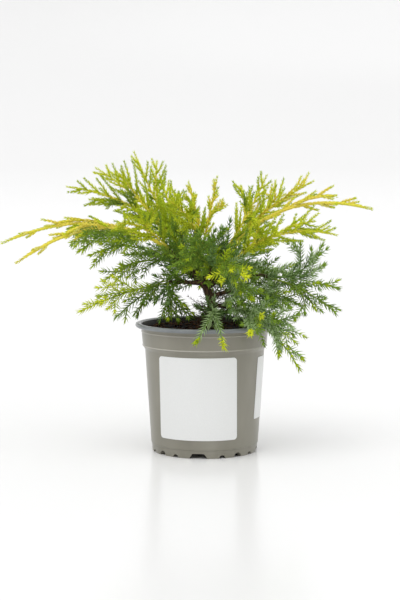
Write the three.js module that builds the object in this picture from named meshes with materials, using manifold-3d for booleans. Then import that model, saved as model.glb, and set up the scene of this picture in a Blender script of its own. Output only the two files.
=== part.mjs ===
// A potted king of spring juniper: a young spreading juniper, gold above and blue-green below,
// in a grey nursery pot 13 cm across.
// Millimetres, +Z up. The origin is the middle of the pot's flat underside, and the labelled side faces -Y.

import * as THREE from "three";
import { mergeVertices } from "three/addons/utils/BufferGeometryUtils.js";
import Module from "manifold-3d";

const wasm = await Module();
wasm.setup();

// Clearance left between two pieces that touch on the real plant, and how much wider a cut is made for it
const CLEARANCE = 0.3;
const CUT_MARGIN = CLEARANCE + 0.1;

// Pot, thermoformed: radii and heights of its outer face, and its wall
const POT_SIDES = 30;
const WALL = 1.2;
const RIM_RADIUS = 65;
const RIM_HEIGHT = 120.6;
const RIM_UNDERSIDE = 116.8;
const RIM_INNER_RADIUS = 60;
const RIM_CREST_RADIUS = 62.8;
const RIM_ROUNDING = 0.9;
const SHOULDER_TOP_RADIUS = 59.5;
const SHOULDER_TOP_HEIGHT = 116.5;
const SHOULDER_LOW_RADIUS = 58.1;
const SHOULDER_LOW_HEIGHT = 99.5;
const BODY_TOP_RADIUS = 56;
const BODY_TOP_HEIGHT = 96;
const BODY_LOW_RADIUS = 50.3;
const FOOT_HEIGHT = 7.5;
const FOOT_RADIUS = 49.2;
const FOOT_TOP_RADIUS = 49.6;
const FOOT_RING_INNER_RADIUS = 43.8;
const FLOOR_UNDERSIDE = 5;
const STANDING_PAD_RADIUS = 14;
const DRAFT = 0.6;

// Water ways: in each quarter of the foot ring one wide notch and some round ones, and drain holes
// in the raised floor. Angles are in degrees, the round notches' from the wide one.
const FRONT_NOTCH_ANGLE = -97;
const WIDE_NOTCH = { low: 17, high: 11, height: 4.6 };
const ROUND_NOTCHES = [{ turn: 26, radius: 3 }, { turn: 45, radius: 4.2 }, { turn: 64, radius: 3 }];
const QUARTERS = 4;
const DRAIN_HOLES = 4;
const DRAIN_HOLE_RADIUS = 4;
const DRAIN_RING_RADIUS = 29;
const CUTTER_OVERLAP = 3;

// Growing medium: level in the middle and a little lower at the wall, just under the rim
const SOIL_TOP = 113.5;
const SOIL_LEVEL_RADIUS = 46;
const SOIL_EDGE_DROP = 1.5;
const SOIL_GAP = 1.65;

// Labels: bare paper, wrapped round the pot's body. Ends are in degrees about the axis.
const LABEL_THICKNESS = 0.4;
const LABEL_CLEARANCE = 0.42;
const FRONT_LABEL = { from: -141.7, to: -55.1, low: 17, high: 93.5, corner: 3.2, columns: 14 };
const SIDE_LABEL = { from: -33, to: -10, low: 35, high: 93, corner: 1.5, columns: 6 };

// Trunk: the middle of its section at each height, from the flat cut at soil level, and its radii.
// The flare takes up a share of its length and has three lobes.
const TRUNK_FOOT = SOIL_TOP + CLEARANCE;
const TRUNK_PLACES = [[5.9, 0, TRUNK_FOOT], [7.6, 0, 130], [2.2, 1, 151], [-6, 1.5, 163], [-12, 2, 176]];
const TRUNK_FLARE_RADIUS = 7.8;
const TRUNK_LOW_RADIUS = 5.1;
const TRUNK_TOP_RADIUS = 2.9;
const TRUNK_SIDES = 10;
const TRUNK_RINGS = 10;
const FLARE_SHARE = 0.16;
const FLARE_LOBES = 3;
const LOBE_DEPTH = 0.12;

// Boughs: radii at the trunk and at the tip, and the share of its reach over which each holds its heading
const BOUGH_BASE_RADIUS = 2.3;
const BOUGH_TIP_RADIUS = 1.45;
const BOUGH_SIDES = 5;
const BOUGH_RINGS = 4;
const BOUGH_HOLD = 0.5;

// Stems of the foliage masses: a leader and one fork. The leader holds its first heading over a share
// of its reach, which the bough's own heading pulls on.
const STEM_RADIUS = 0.95;
const STEM_TIP_RADIUS = 0.45;
const STEM_SPACING = 1.4;
const STEM_RING_PITCH = 12;
const STEM_HOLD = 0.45;
const BOUGH_PULL = 0.7;
const FORK_SHARE = 0.42;
const FORK_BEND_SHARE = 0.3;

// Habits of growth: lengths in millimetres, angles in degrees from the parent's heading.
// A whip is a long leader with few shoots held close, a feather is a spray of scale-leaved shoots,
// and a brush is a spray of young needles that stand well out. A tooth stands for a small spray.
const HABITS = {
  whip: { shoot: 22, shootAngle: 26, tooth: 6.5, toothAngle: 22, lift: 0 },
  feather: { shoot: 31, shootAngle: 42, tooth: 10, toothAngle: 36, lift: 0.12 },
  brush: { shoot: 27, shootAngle: 48, tooth: 9, toothAngle: 48, lift: 0.05 },
};

// Shoots: how many a stem has and where along it, how they are rolled about it, how much they vary,
// and how far they turn forward. The longest are near the bough, and a share is lost towards the tip.
const LEADER_SHOOTS = 6;
const FORK_SHOOTS = 2;
const FIRST_SHOOT = 0.06;
const FIRST_FORK_SHOOT = 0.25;
const LAST_SHOOT = 0.92;
const ROLL_STEP = 135;
const ROLL_SPREAD = 50;
const ANGLE_SPREAD = 14;
const LENGTH_SPREAD = 0.4;
const FORWARD_TURN = 0.22;
const FIRST_SHOOT_SHARE = 0.6;
const SHOOT_SHARE_GAIN = 3;
const SHOOT_SHARE_LOSS = 0.68;
const SHOOT_HOLD = 0.5;
const SHOOT_RADIUS = 1;
const SHOOT_RING_PITCH = 6.6;
const BARE_LEADER = 0.3;
const BARE_SHOOT = 0.2;
const TOOTH_LOSS = 0.35;
const SPRAY_SIDES = 3;
const SLIVER = 0.03;
const FIRST_SEED = 11;

// Plain colours of the real pieces
const COLOURS = {
  pot: 0x8d897e,
  soil: 0x2d2319,
  label: 0xf2f2f1,
  bark: 0x4a3424,
  gold: 0xc6c04c,
  lime: 0xa3b23a,
  green: 0x708a33,
  deep: 0x55712f,
  blue: 0x6a8a4c,
};

// Boughs: the height where each leaves the trunk, its heading there and the place of its tip
const BOUGHS = {
  left_upper: { height: 168, heading: [-0.7, 0.1, 0.9], tip: [-27, 6, 196] },
  left_reach: { height: 163, heading: [-0.9, -0.2, 0.7], tip: [-34, -9, 190] },
  left_low: { height: 157, heading: [-1, -0.15, 0.1], tip: [-33, -8, 159] },
  left_back: { height: 158, heading: [-0.7, 0.7, 0.4], tip: [-28, 18, 174] },
  centre: { height: 171, heading: [0.3, 0, 1], tip: [-3, -3, 194] },
  right_upper: { height: 160, heading: [0.8, 0.1, 0.8], tip: [22, 6, 190] },
  right_reach: { height: 155, heading: [0.9, -0.3, 0.6], tip: [26, -10, 177] },
  right_low: { height: 152, heading: [0.9, 0, 0.75], tip: [62, -3, 163] },
  right_front: { height: 136, heading: [0.8, -0.6, 0.1], tip: [30, -19, 134] },
  right_inner: { height: 144, heading: [0.9, -0.2, 0.4], tip: [34, 2, 151] },
  front_low: { height: 128, heading: [0, -1, 0.35], tip: [5, -28, 131] },
  front_upper: { height: 157, heading: [0.3, -1, 0.4], tip: [6, -22, 172] },
  back_left: { height: 164, heading: [-0.3, 1, 0.5], tip: [-18, 28, 186] },
  back_right: { height: 154, heading: [0.5, 1, 0.4], tip: [18, 28, 172] },
};

function mass(name, bough, tip, fork, bend, habit, colour) {
  return { name, bough, tip, fork, bend, habit, colour };
}

// Foliage masses: the bough that carries each, the places of its two furthest tips, how far the middle
// of its leader bends off a straight line, its habit and its colour
const MASSES = [
  mass("left_crest", "left_upper", [-66, 10, 279.5], [-45, 25, 271], [0, 0, -6], "feather", "lime"),
  mass("left_fan", "left_upper", [-100, -15, 264.7], [-81, -5, 261], [0, 0, 6], "feather", "lime"),
  mass("left_feather", "left_upper", [-128.7, 12, 247], [-108.7, 20, 235], [0, 0, 10], "feather", "gold"),
  mass("left_reach", "left_reach", [-190, 5, 194.6], [-140, 0, 213], [0, 0, 19], "whip", "gold"),
  mass("left_whip", "left_reach", [-172, -38, 178.5], [-128, -36, 205], [0, 0, 28], "whip", "gold"),
  mass("left_front", "left_reach", [-78, -78, 216], [-48, -70, 214], [0, 0, 8], "feather", "lime"),
  mass("left_under", "left_back", [-127.6, 34, 193.8], [-108, 25, 182], [0, 0, 10], "brush", "green"),
  mass("left_mid", "left_back", [-93, 0, 160], [-84, 30, 168], [0, 0, 7], "brush", "deep"),
  mass("left_low", "left_low", [-113.6, -30, 134], [-97, -34, 148], [0, 0, 3], "brush", "green"),
  mass("left_hanging", "left_low", [-63.6, 4, 125.2], [-82, -14, 127], [0, 0, 10], "brush", "blue"),
  mass("inner_hanging", "left_low", [-12, -14, 127], [-31, -20, 128], [-3, 0, 4], "brush", "blue"),
  mass("centre_crest", "centre", [11.4, -6, 256.3], [18, 2, 232], [0, 0, 0], "feather", "gold"),
  mass("centre_left", "centre", [-15, 20, 251], [-17, -10, 240], [-3, 0, 0], "feather", "gold"),
  mass("front_left", "centre", [-32, -62, 236], [-14, -52, 222], [-6, 0, 4], "feather", "lime"),
  mass("right_crest", "right_upper", [58, 5, 258], [34, 15, 248.6], [0, 0, -4], "feather", "lime"),
  mass("right_fan", "right_upper", [102.8, 24, 252], [74, 32, 242.8], [0, 0, 7], "feather", "gold"),
  mass("right_whip", "right_upper", [154.8, -10, 226.9], [123, 4, 238.7], [0, 0, 26], "whip", "gold"),
  mass("right_reach", "right_reach", [120.8, -34, 203.8], [101, -22, 216], [0, 0, 20], "feather", "lime"),
  mass("right_front", "right_reach", [66, -78, 206], [48, -66, 218], [0, 0, 6], "feather", "green"),
  mass("right_mid", "right_low", [110.7, 14, 191.6], [84, 8, 195], [6, 0, -8], "brush", "blue"),
  mass("right_low", "right_low", [123, -10, 153.5], [110.6, 0, 174], [0, 0, 4], "brush", "blue"),
  mass("right_drop", "right_low", [119, -38, 133.6], [92, -26, 132], [0, 0, 6], "brush", "deep"),
  mass("right_side", "right_inner", [80, 22, 134], [70, 38, 142], [0, 0, 6], "brush", "deep"),
  mass("right_inner", "right_inner", [84, -16, 140], [62, -22, 146], [0, 0, 4], "brush", "blue"),
  mass("right_hanging", "right_front", [85.7, -60, 83.6], [82, -56, 108], [-6, -22, 26], "brush", "green"),
  mass("right_low_front", "right_front", [78, -40, 122], [66, -60, 128], [0, 0, 4], "brush", "blue"),
  mass("front_right", "right_front", [40, -79, 118], [50, -70, 134], [0, 0, 12], "brush", "lime"),
  mass("front_sprig", "front_low", [16.9, -79, 106.8], [-8, -78, 110.7], [0, 0, 25], "brush", "blue"),
  mass("front_gold", "front_upper", [36, -86, 169.6], [14, -84, 166], [0, 0, 10], "brush", "gold"),
  mass("front_mid", "front_upper", [-30, -82, 178], [-12, -78, 194], [0, 0, 8], "brush", "green"),
  mass("front_inner", "front_upper", [44, -58, 148], [30, -64, 146], [0, 0, 2], "brush", "blue"),
  mass("back_crest", "back_left", [-44, 66, 258], [-26, 62, 240], [0, 0, 0], "feather", "lime"),
  mass("back_left", "back_left", [-88, 84, 228], [-66, 86, 236], [0, 0, 8], "feather", "lime"),
  mass("back_reach", "back_left", [-40, 138, 196], [-20, 118, 208], [0, 0, 14], "feather", "gold"),
  mass("back_right", "back_right", [70, 100, 228], [46, 92, 230], [0, 0, 10], "feather", "lime"),
  mass("back_low_right", "back_right", [68, 98, 150], [86, 74, 160], [0, 0, 2], "brush", "blue"),
  mass("back_low_left", "back_right", [-14, 112, 146], [8, 106, 142], [0, 0, 14], "brush", "deep"),
];

const UP = new THREE.Vector3(0, 0, 1);
const EAST = new THREE.Vector3(1, 0, 0);

function vector(place) {
  return new THREE.Vector3(...place);
}

function radians(degrees) {
  return THREE.MathUtils.degToRad(degrees);
}

// A number from 0 to 1 that is always the same for the same three whole numbers
function chance(seed, place, use) {
  const prime = 2147483647;
  const multiplier = 48271;
  let state = (seed * 7919 + place * 104729 + use * 15485863 + 1) % prime;
  for (let turn = 0; turn < 3; turn += 1) {
    state = (state * multiplier) % prime;
  }
  return state / prime;
}

// A closed three.js geometry as a solid that can be joined and cut
function solidOf(geometry) {
  geometry.deleteAttribute("normal");
  geometry.deleteAttribute("uv");
  const merged = mergeVertices(geometry, 1e-4);
  const mesh = new wasm.Mesh({
    numProp: 3,
    vertProperties: new Float32Array(merged.getAttribute("position").array),
    triVerts: new Uint32Array(merged.getIndex().array),
  });
  return new wasm.Manifold(mesh);
}

// The largest body of a solid: loose scraps go, and a sealed hollow inside it is filled
function largestBody(solid) {
  const bodies = solid.decompose();
  return bodies.reduce((best, body) => (body.volume() > best.volume() ? body : best));
}

function meshOf(name, solid, colour, roughness) {
  const result = solid.getMesh();
  const geometry = new THREE.BufferGeometry();
  geometry.setAttribute("position", new THREE.BufferAttribute(new Float32Array(result.vertProperties), 3));
  geometry.setIndex(new THREE.BufferAttribute(new Uint32Array(result.triVerts), 1));
  geometry.computeVertexNormals();
  const material = new THREE.MeshStandardMaterial({ color: colour, roughness, metalness: 0 });
  const mesh = new THREE.Mesh(geometry, material);
  mesh.name = name;
  return mesh;
}

// A profile of radius and height, turned about the pot's axis
function turned(profile) {
  const points = profile.map(([radius, height]) => new THREE.Vector2(radius, height));
  const lathe = new THREE.LatheGeometry(points, POT_SIDES);
  lathe.rotateX(Math.PI / 2);
  return solidOf(lathe);
}

// Radius of the pot's outer face at a height on its body
function bodyRadius(height) {
  const share = (height - FOOT_HEIGHT) / (BODY_TOP_HEIGHT - FOOT_HEIGHT);
  return THREE.MathUtils.lerp(BODY_LOW_RADIUS, BODY_TOP_RADIUS, share);
}

// Shell of the pot: standing pad, raised floor, foot ring, body, shoulder band and rolled rim
function potShell() {
  const floorTop = FLOOR_UNDERSIDE + WALL;
  return turned([
    [0, 0],
    [STANDING_PAD_RADIUS, 0],
    [STANDING_PAD_RADIUS + 2 * DRAFT, FLOOR_UNDERSIDE],
    [FOOT_RING_INNER_RADIUS - DRAFT, FLOOR_UNDERSIDE],
    [FOOT_RING_INNER_RADIUS, 0],
    [FOOT_RADIUS, 0],
    [FOOT_TOP_RADIUS, FOOT_HEIGHT],
    [BODY_LOW_RADIUS, FOOT_HEIGHT],
    [BODY_TOP_RADIUS, BODY_TOP_HEIGHT],
    [SHOULDER_LOW_RADIUS, SHOULDER_LOW_HEIGHT],
    [SHOULDER_TOP_RADIUS, SHOULDER_TOP_HEIGHT],
    [RIM_RADIUS - RIM_ROUNDING, RIM_UNDERSIDE],
    [RIM_RADIUS, RIM_UNDERSIDE + RIM_ROUNDING],
    [RIM_RADIUS - RIM_ROUNDING, RIM_HEIGHT - RIM_ROUNDING / 4],
    [RIM_CREST_RADIUS, RIM_HEIGHT],
    [RIM_INNER_RADIUS + RIM_ROUNDING, RIM_HEIGHT - RIM_ROUNDING / 3],
    [RIM_INNER_RADIUS - DRAFT, RIM_HEIGHT - WALL],
    [SHOULDER_TOP_RADIUS - WALL, SHOULDER_TOP_HEIGHT],
    [SHOULDER_LOW_RADIUS - WALL, SHOULDER_LOW_HEIGHT],
    [BODY_TOP_RADIUS - WALL, BODY_TOP_HEIGHT],
    [BODY_LOW_RADIUS - WALL, floorTop],
    [STANDING_PAD_RADIUS + DRAFT, floorTop],
    [STANDING_PAD_RADIUS - DRAFT, WALL],
    [0, WALL],
  ]);
}

// A cutter that lies across the foot ring at an angle about the axis, of a shape drawn from its foot up
function footCutter(shape, angle) {
  const reach = FOOT_RADIUS - FOOT_RING_INNER_RADIUS + 2 * CUTTER_OVERLAP;
  const cutter = new THREE.ExtrudeGeometry(shape, { depth: reach, bevelEnabled: false, curveSegments: 3 });
  cutter.rotateX(Math.PI / 2);
  cutter.rotateZ(Math.PI / 2);
  cutter.translate(FOOT_RING_INNER_RADIUS - CUTTER_OVERLAP, 0, 0);
  cutter.rotateZ(radians(angle));
  return solidOf(cutter);
}

function wideNotchShape() {
  const shape = new THREE.Shape();
  shape.moveTo(-WIDE_NOTCH.low / 2, -CUTTER_OVERLAP);
  shape.lineTo(WIDE_NOTCH.low / 2, -CUTTER_OVERLAP);
  shape.lineTo(WIDE_NOTCH.high / 2, WIDE_NOTCH.height);
  shape.lineTo(-WIDE_NOTCH.high / 2, WIDE_NOTCH.height);
  shape.closePath();
  return shape;
}

function roundNotchShape(radius) {
  const shape = new THREE.Shape();
  shape.moveTo(-radius, -CUTTER_OVERLAP);
  shape.lineTo(radius, -CUTTER_OVERLAP);
  shape.absarc(0, 0, radius, 0, Math.PI, false);
  shape.closePath();
  return shape;
}

function drainDrill(hole) {
  const drill = new THREE.CylinderGeometry(DRAIN_HOLE_RADIUS, DRAIN_HOLE_RADIUS, 2 * CUTTER_OVERLAP, 8);
  drill.rotateX(Math.PI / 2);
  drill.translate(DRAIN_RING_RADIUS, 0, FLOOR_UNDERSIDE);
  drill.rotateZ(radians((hole * 360) / DRAIN_HOLES));
  return solidOf(drill);
}

function pot() {
  let solid = potShell();
  for (let quarter = 0; quarter < QUARTERS; quarter += 1) {
    const angle = FRONT_NOTCH_ANGLE + (quarter * 360) / QUARTERS;
    solid = solid.subtract(footCutter(wideNotchShape(), angle));
    for (const { turn, radius } of ROUND_NOTCHES) {
      solid = solid.subtract(footCutter(roundNotchShape(radius), angle + turn));
    }
  }
  for (let hole = 0; hole < DRAIN_HOLES; hole += 1) {
    solid = solid.subtract(drainDrill(hole));
  }
  return largestBody(solid);
}

// Growing medium: it fills the pot, clear of its wall and floor
function soil() {
  return turned([
    [0, WALL + CLEARANCE],
    [STANDING_PAD_RADIUS - 2 * DRAFT, WALL + CLEARANCE],
    [STANDING_PAD_RADIUS, FLOOR_UNDERSIDE + SOIL_GAP],
    [BODY_LOW_RADIUS - SOIL_GAP, FLOOR_UNDERSIDE + SOIL_GAP],
    [BODY_TOP_RADIUS - SOIL_GAP, BODY_TOP_HEIGHT + DRAFT],
    [SHOULDER_LOW_RADIUS - SOIL_GAP, SHOULDER_LOW_HEIGHT + DRAFT],
    [SHOULDER_TOP_RADIUS - SOIL_GAP - DRAFT, SOIL_TOP - SOIL_EDGE_DROP],
    [SOIL_LEVEL_RADIUS, SOIL_TOP],
    [0, SOIL_TOP],
  ]);
}

// A label with rounded corners, wrapped round the pot's body a clearance off its face
function label({ from, to, low, high, corner, columns }) {
  const width = bodyRadius((low + high) / 2) * radians(to - from);
  const sheet = new THREE.BoxGeometry(1, LABEL_THICKNESS, 1, columns, 1, 1);
  const position = sheet.getAttribute("position");
  for (let index = 0; index < position.count; index += 1) {
    // Columns lie closer together near the two ends, where the corners are round
    const across = Math.sin(position.getX(index) * Math.PI) / 2;
    const fromEnd = width * (0.5 - Math.abs(across));
    const inCorner = Math.max(corner - fromEnd, 0);
    const cut = corner - Math.sqrt(Math.max(corner * corner - inCorner * inCorner, 0));
    const height = position.getZ(index) < 0 ? low + cut : high - cut;
    const angle = radians(THREE.MathUtils.lerp(from, to, across + 0.5));
    const outward = LABEL_THICKNESS / 2 - position.getY(index);
    const radius = bodyRadius(height) + LABEL_CLEARANCE + outward;
    position.setXYZ(index, radius * Math.cos(angle), radius * Math.sin(angle), height);
  }
  return solidOf(sheet);
}

// A curved path in one plane. At each share of it: its place, the way along, and two ways across,
// of which the side is the same from end to end.
class Path {
  constructor(start, control, end) {
    this.curve = new THREE.QuadraticBezierCurve3(start, control, end);
    const first = new THREE.Vector3().subVectors(control, start).normalize();
    const last = new THREE.Vector3().subVectors(end, control).normalize();
    this.side = new THREE.Vector3().crossVectors(first, last);
    if (this.side.length() < 0.05) {
      const reference = Math.abs(first.z) > 0.9 ? EAST : UP;
      this.side.crossVectors(first, reference);
    }
    this.side.normalize();
    this.length = start.distanceTo(end);
  }

  at(share) {
    const along = this.curve.getTangent(share).normalize();
    const rise = new THREE.Vector3().crossVectors(this.side, along).normalize();
    return { place: this.curve.getPoint(share), along, side: this.side, rise };
  }
}

// A closed tapering limb round a path: the rings of a unit cylinder or cone, set along the path.
// Teeth, where it has them, are single corners of its rings drawn out and forward.
function limb(path, { radiusAt, sides, rings, pointed = false, toothAt = () => null }) {
  const blank = pointed
    ? new THREE.ConeGeometry(1, 1, sides, rings)
    : new THREE.CylinderGeometry(1, 1, 1, sides, rings);
  const position = blank.getAttribute("position");
  for (let index = 0; index < position.count; index += 1) {
    const ring = Math.round((position.getY(index) + 0.5) * rings);
    const share = ring / rings;
    const { place, along, side, rise } = path.at(share);
    const width = Math.hypot(position.getX(index), position.getZ(index));
    if (width > 1e-6) {
      const angle = Math.atan2(position.getZ(index), position.getX(index));
      const corner = Math.round((angle * sides) / (2 * Math.PI) + sides) % sides;
      const tooth = toothAt(ring, corner);
      const radius = radiusAt(share, angle) + (tooth ? tooth.out : 0);
      place.addScaledVector(side, radius * Math.cos(angle));
      place.addScaledVector(rise, radius * Math.sin(angle));
      place.addScaledVector(along, tooth ? tooth.forward : 0);
    }
    position.setXYZ(index, place.x, place.y, place.z);
  }
  return solidOf(blank);
}

// Space that is taken: each length of limb, stem, shoot or tooth as two ends and a radius, with its owner
const taken = [];

function stretches(path, radiusAt, rings) {
  const lengths = [];
  for (let ring = 0; ring < rings; ring += 1) {
    const from = ring / rings;
    const to = (ring + 1) / rings;
    const radius = Math.max(radiusAt(from), radiusAt(to));
    lengths.push({ from: path.at(from).place, to: path.at(to).place, radius });
  }
  return lengths;
}

// Shortest distance between two straight lengths
function distanceBetween(first, second) {
  const u = new THREE.Vector3().subVectors(first.to, first.from);
  const v = new THREE.Vector3().subVectors(second.to, second.from);
  const w = new THREE.Vector3().subVectors(first.from, second.from);
  const uu = u.dot(u);
  const uv = u.dot(v);
  const vv = v.dot(v);
  const uw = u.dot(w);
  const vw = v.dot(w);
  const area = uu * vv - uv * uv;
  let s = area > 1e-9 ? THREE.MathUtils.clamp((uv * vw - vv * uw) / area, 0, 1) : 0;
  const t = THREE.MathUtils.clamp((uv * s + vw) / vv, 0, 1);
  s = THREE.MathUtils.clamp((uv * t - uw) / uu, 0, 1);
  return w.addScaledVector(u, s).addScaledVector(v, -t).length();
}

// Whether a length keeps off the pot's rim and wall and off the soil
function clearsPot({ from, to, radius }) {
  const steps = 6;
  const reach = radius + CLEARANCE;
  for (let step = 0; step <= steps; step += 1) {
    const place = new THREE.Vector3().lerpVectors(from, to, step / steps);
    const out = Math.hypot(place.x, place.y);
    const low = place.z - reach;
    if (low < RIM_HEIGHT && out + reach > SHOULDER_LOW_RADIUS - WALL && out - reach < RIM_RADIUS) {
      return false;
    }
    if (low < SOIL_TOP && out < RIM_RADIUS) {
      return false;
    }
  }
  return true;
}

function isFree(lengths, owner) {
  return lengths.every((length) => clearsPot(length) && taken.every((other) => {
    if (other.owner === owner) {
      return true;
    }
    const reach = length.radius + other.radius + CLEARANCE;
    const far = length.from.distanceTo(other.from)
      - length.from.distanceTo(length.to) - other.from.distanceTo(other.to);
    return far > reach || distanceBetween(length, other) > reach;
  }));
}

function take(lengths, owner) {
  for (const length of lengths) {
    taken.push({ ...length, owner });
  }
}

// Trunk: leaning, with a lobed flare at its foot, which is cut flat
const trunkCurve = new THREE.CatmullRomCurve3(TRUNK_PLACES.map(vector));
const trunkPath = {
  at(share) {
    const along = share === 0 ? UP.clone() : trunkCurve.getTangent(share).normalize();
    const side = new THREE.Vector3().crossVectors(along, new THREE.Vector3(0, -1, 0)).normalize();
    const rise = new THREE.Vector3().crossVectors(side, along);
    return { place: trunkCurve.getPoint(share), along, side, rise };
  },
};

function trunkRadius(share, angle = 0) {
  const taper = THREE.MathUtils.lerp(TRUNK_LOW_RADIUS, TRUNK_TOP_RADIUS, share);
  const flare = Math.max(1 - share / FLARE_SHARE, 0) ** 2;
  const lobes = 1 + LOBE_DEPTH * flare * Math.sin(FLARE_LOBES * angle + 1);
  return (taper + flare * (TRUNK_FLARE_RADIUS - TRUNK_LOW_RADIUS)) * lobes;
}

// The same path, longer by a margin at both ends
function extended(path, margin) {
  return {
    at(share) {
      const frame = path.at(share);
      const shift = share === 0 ? -margin : share === 1 ? margin : 0;
      return { ...frame, place: frame.place.clone().addScaledVector(frame.along, shift) };
    },
  };
}

// The trunk, grown on all sides by a margin where it is a cutter
function trunk(grown) {
  const radiusAt = (share, angle) => trunkRadius(share, angle) + grown;
  return limb(extended(trunkPath, grown), { radiusAt, sides: TRUNK_SIDES, rings: TRUNK_RINGS });
}

// The trunk's middle at a height, by halving
function trunkPlace(height) {
  let low = 0;
  let high = 1;
  for (let step = 0; step < 24; step += 1) {
    const middle = (low + high) / 2;
    if (trunkCurve.getPoint(middle).z < height) {
      low = middle;
    } else {
      high = middle;
    }
  }
  return trunkCurve.getPoint(low);
}

function boughRadius(share) {
  return THREE.MathUtils.lerp(BOUGH_BASE_RADIUS, BOUGH_TIP_RADIUS, share);
}

function boughPath({ height, heading, tip }) {
  const start = trunkPlace(height);
  const end = vector(tip);
  const hold = start.distanceTo(end) * BOUGH_HOLD;
  const control = start.clone().addScaledVector(vector(heading).normalize(), hold);
  return new Path(start, control, end);
}

// A bough, grown on all sides by a margin where it is a cutter
function bough(path, grown) {
  const radiusAt = (share) => boughRadius(share) + grown;
  return limb(extended(path, grown), { radiusAt, sides: BOUGH_SIDES, rings: BOUGH_RINGS });
}

// Which way each mass's stem stands off the middle of its bough's tip: evenly round it, in the order
// in which the masses spread, and turned so that each is nearest to its own side
function stemSides(carried, boughTip) {
  const bearings = carried.map((carriedMass) => {
    const aim = new THREE.Vector3().subVectors(vector(carriedMass.tip), boughTip.place);
    return { carriedMass, bearing: Math.atan2(aim.dot(boughTip.rise), aim.dot(boughTip.side)) };
  });
  bearings.sort((first, second) => first.bearing - second.bearing);
  const step = (2 * Math.PI) / bearings.length;
  const sum = new THREE.Vector2();
  bearings.forEach(({ bearing }, index) => {
    sum.add(new THREE.Vector2(Math.cos(bearing - index * step), Math.sin(bearing - index * step)));
  });
  bearings.forEach(({ carriedMass }, index) => {
    const angle = sum.angle() + index * step;
    carriedMass.standoff = boughTip.side.clone().multiplyScalar(Math.cos(angle) * STEM_SPACING)
      .addScaledVector(boughTip.rise, Math.sin(angle) * STEM_SPACING);
  });
}

// Path of a mass's leader: on from its bough's tip, a clearance off it, and on to its own tip
function leaderPath({ bough: carrier, tip, bend, standoff }) {
  const boughTip = boughPath(BOUGHS[carrier]).at(1);
  const end = vector(tip);
  const foot = boughTip.place.clone().add(standoff);
  const aim = new THREE.Vector3().subVectors(end, foot).normalize();
  const early = aim.addScaledVector(boughTip.along, BOUGH_PULL).normalize();
  const hold = early.clone().multiplyScalar(foot.distanceTo(end) * STEM_HOLD).add(vector(bend));
  const tilt = Math.sin(hold.angleTo(boughTip.along));
  const start = foot.addScaledVector(boughTip.along, CUT_MARGIN + STEM_RADIUS * tilt);
  return new Path(start, start.clone().add(hold), end);
}

function forkPath({ fork, bend }, leader) {
  const { place, along } = leader.at(FORK_SHARE);
  const end = vector(fork);
  const early = new THREE.Vector3().subVectors(end, place).normalize().add(along).normalize();
  const control = place.clone().addScaledVector(early, place.distanceTo(end) * STEM_HOLD)
    .addScaledVector(vector(bend), FORK_BEND_SHARE);
  return new Path(place, control, end);
}

function stemRadius(share) {
  return THREE.MathUtils.lerp(STEM_RADIUS, STEM_TIP_RADIUS, share);
}

function forkRadius(share) {
  return stemRadius(FORK_SHARE + share * (1 - FORK_SHARE));
}

// A shoot that leaves its parent at an angle and a roll about it, and bends forward and up
function offshoot(parent, share, length, angle, roll, lift) {
  const { place, along, side, rise } = parent.at(share);
  const outward = side.clone().multiplyScalar(Math.cos(roll)).addScaledVector(rise, Math.sin(roll));
  const heading = along.clone().multiplyScalar(Math.cos(angle)).addScaledVector(outward, Math.sin(angle));
  const last = heading.clone().addScaledVector(along, FORWARD_TURN).addScaledVector(UP, lift).normalize();
  const control = place.clone().addScaledVector(heading, length * SHOOT_HOLD);
  const end = place.clone().addScaledVector(last, length);
  return new Path(place, control, end);
}

// Share of the habit's full shoot length at a place along a stem
function shootShare(share) {
  return Math.min(FIRST_SHOOT_SHARE + SHOOT_SHARE_GAIN * share, 1) * (1 - SHOOT_SHARE_LOSS * share);
}

// A shoot is slim where it leaves its stem, thickest soon after, and pointed
function shootRadius(share) {
  return SHOOT_RADIUS * Math.min(0.45 + share * 2.5, 1) * Math.min((1 - share) * 2, 1);
}

function ringCount(path, pitch) {
  return Math.max(Math.round(path.length / pitch), 2);
}

// The room that a tooth needs: lines to its tip from the path around the ring that it grows from
function toothRoom(path, radius, rings, tooth) {
  const { place, side, rise, along } = path.at(tooth.ring / rings);
  const angle = (tooth.corner * 2 * Math.PI) / SPRAY_SIDES;
  const tip = place.addScaledVector(side, (radius + tooth.out) * Math.cos(angle))
    .addScaledVector(rise, (radius + tooth.out) * Math.sin(angle))
    .addScaledVector(along, tooth.forward);
  return [-1, -0.5, 0, 0.5, 1].map((step) => {
    const from = path.at((tooth.ring + step) / rings).place;
    return { from, to: tip, radius: radius + 0.1 };
  });
}

// Teeth of a three-sided stem or shoot: a corner of each ring in turn, drawn out where there is room
function teethOf({ path, radiusAt, rings }, bare, { name, habit }) {
  const { tooth, toothAngle } = HABITS[habit];
  const teeth = [];
  for (let ring = 1; ring < rings; ring += 1) {
    const share = ring / rings;
    const length = tooth * (1 - TOOTH_LOSS * share);
    const grown = {
      ring,
      corner: ring % SPRAY_SIDES,
      out: length * Math.sin(radians(toothAngle)),
      forward: length * Math.cos(radians(toothAngle)),
    };
    const room = toothRoom(path, radiusAt(share), rings, grown);
    if (share >= bare && isFree(room, name)) {
      take(room, name);
      teeth.push(grown);
    }
  }
  return teeth;
}

function toothedLimb({ path, radiusAt, rings }, teeth) {
  const toothAt = (ring, corner) => teeth.find((tooth) => tooth.ring === ring && tooth.corner === corner);
  return limb(path, { radiusAt, sides: SPRAY_SIDES, rings, pointed: true, toothAt });
}

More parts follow.
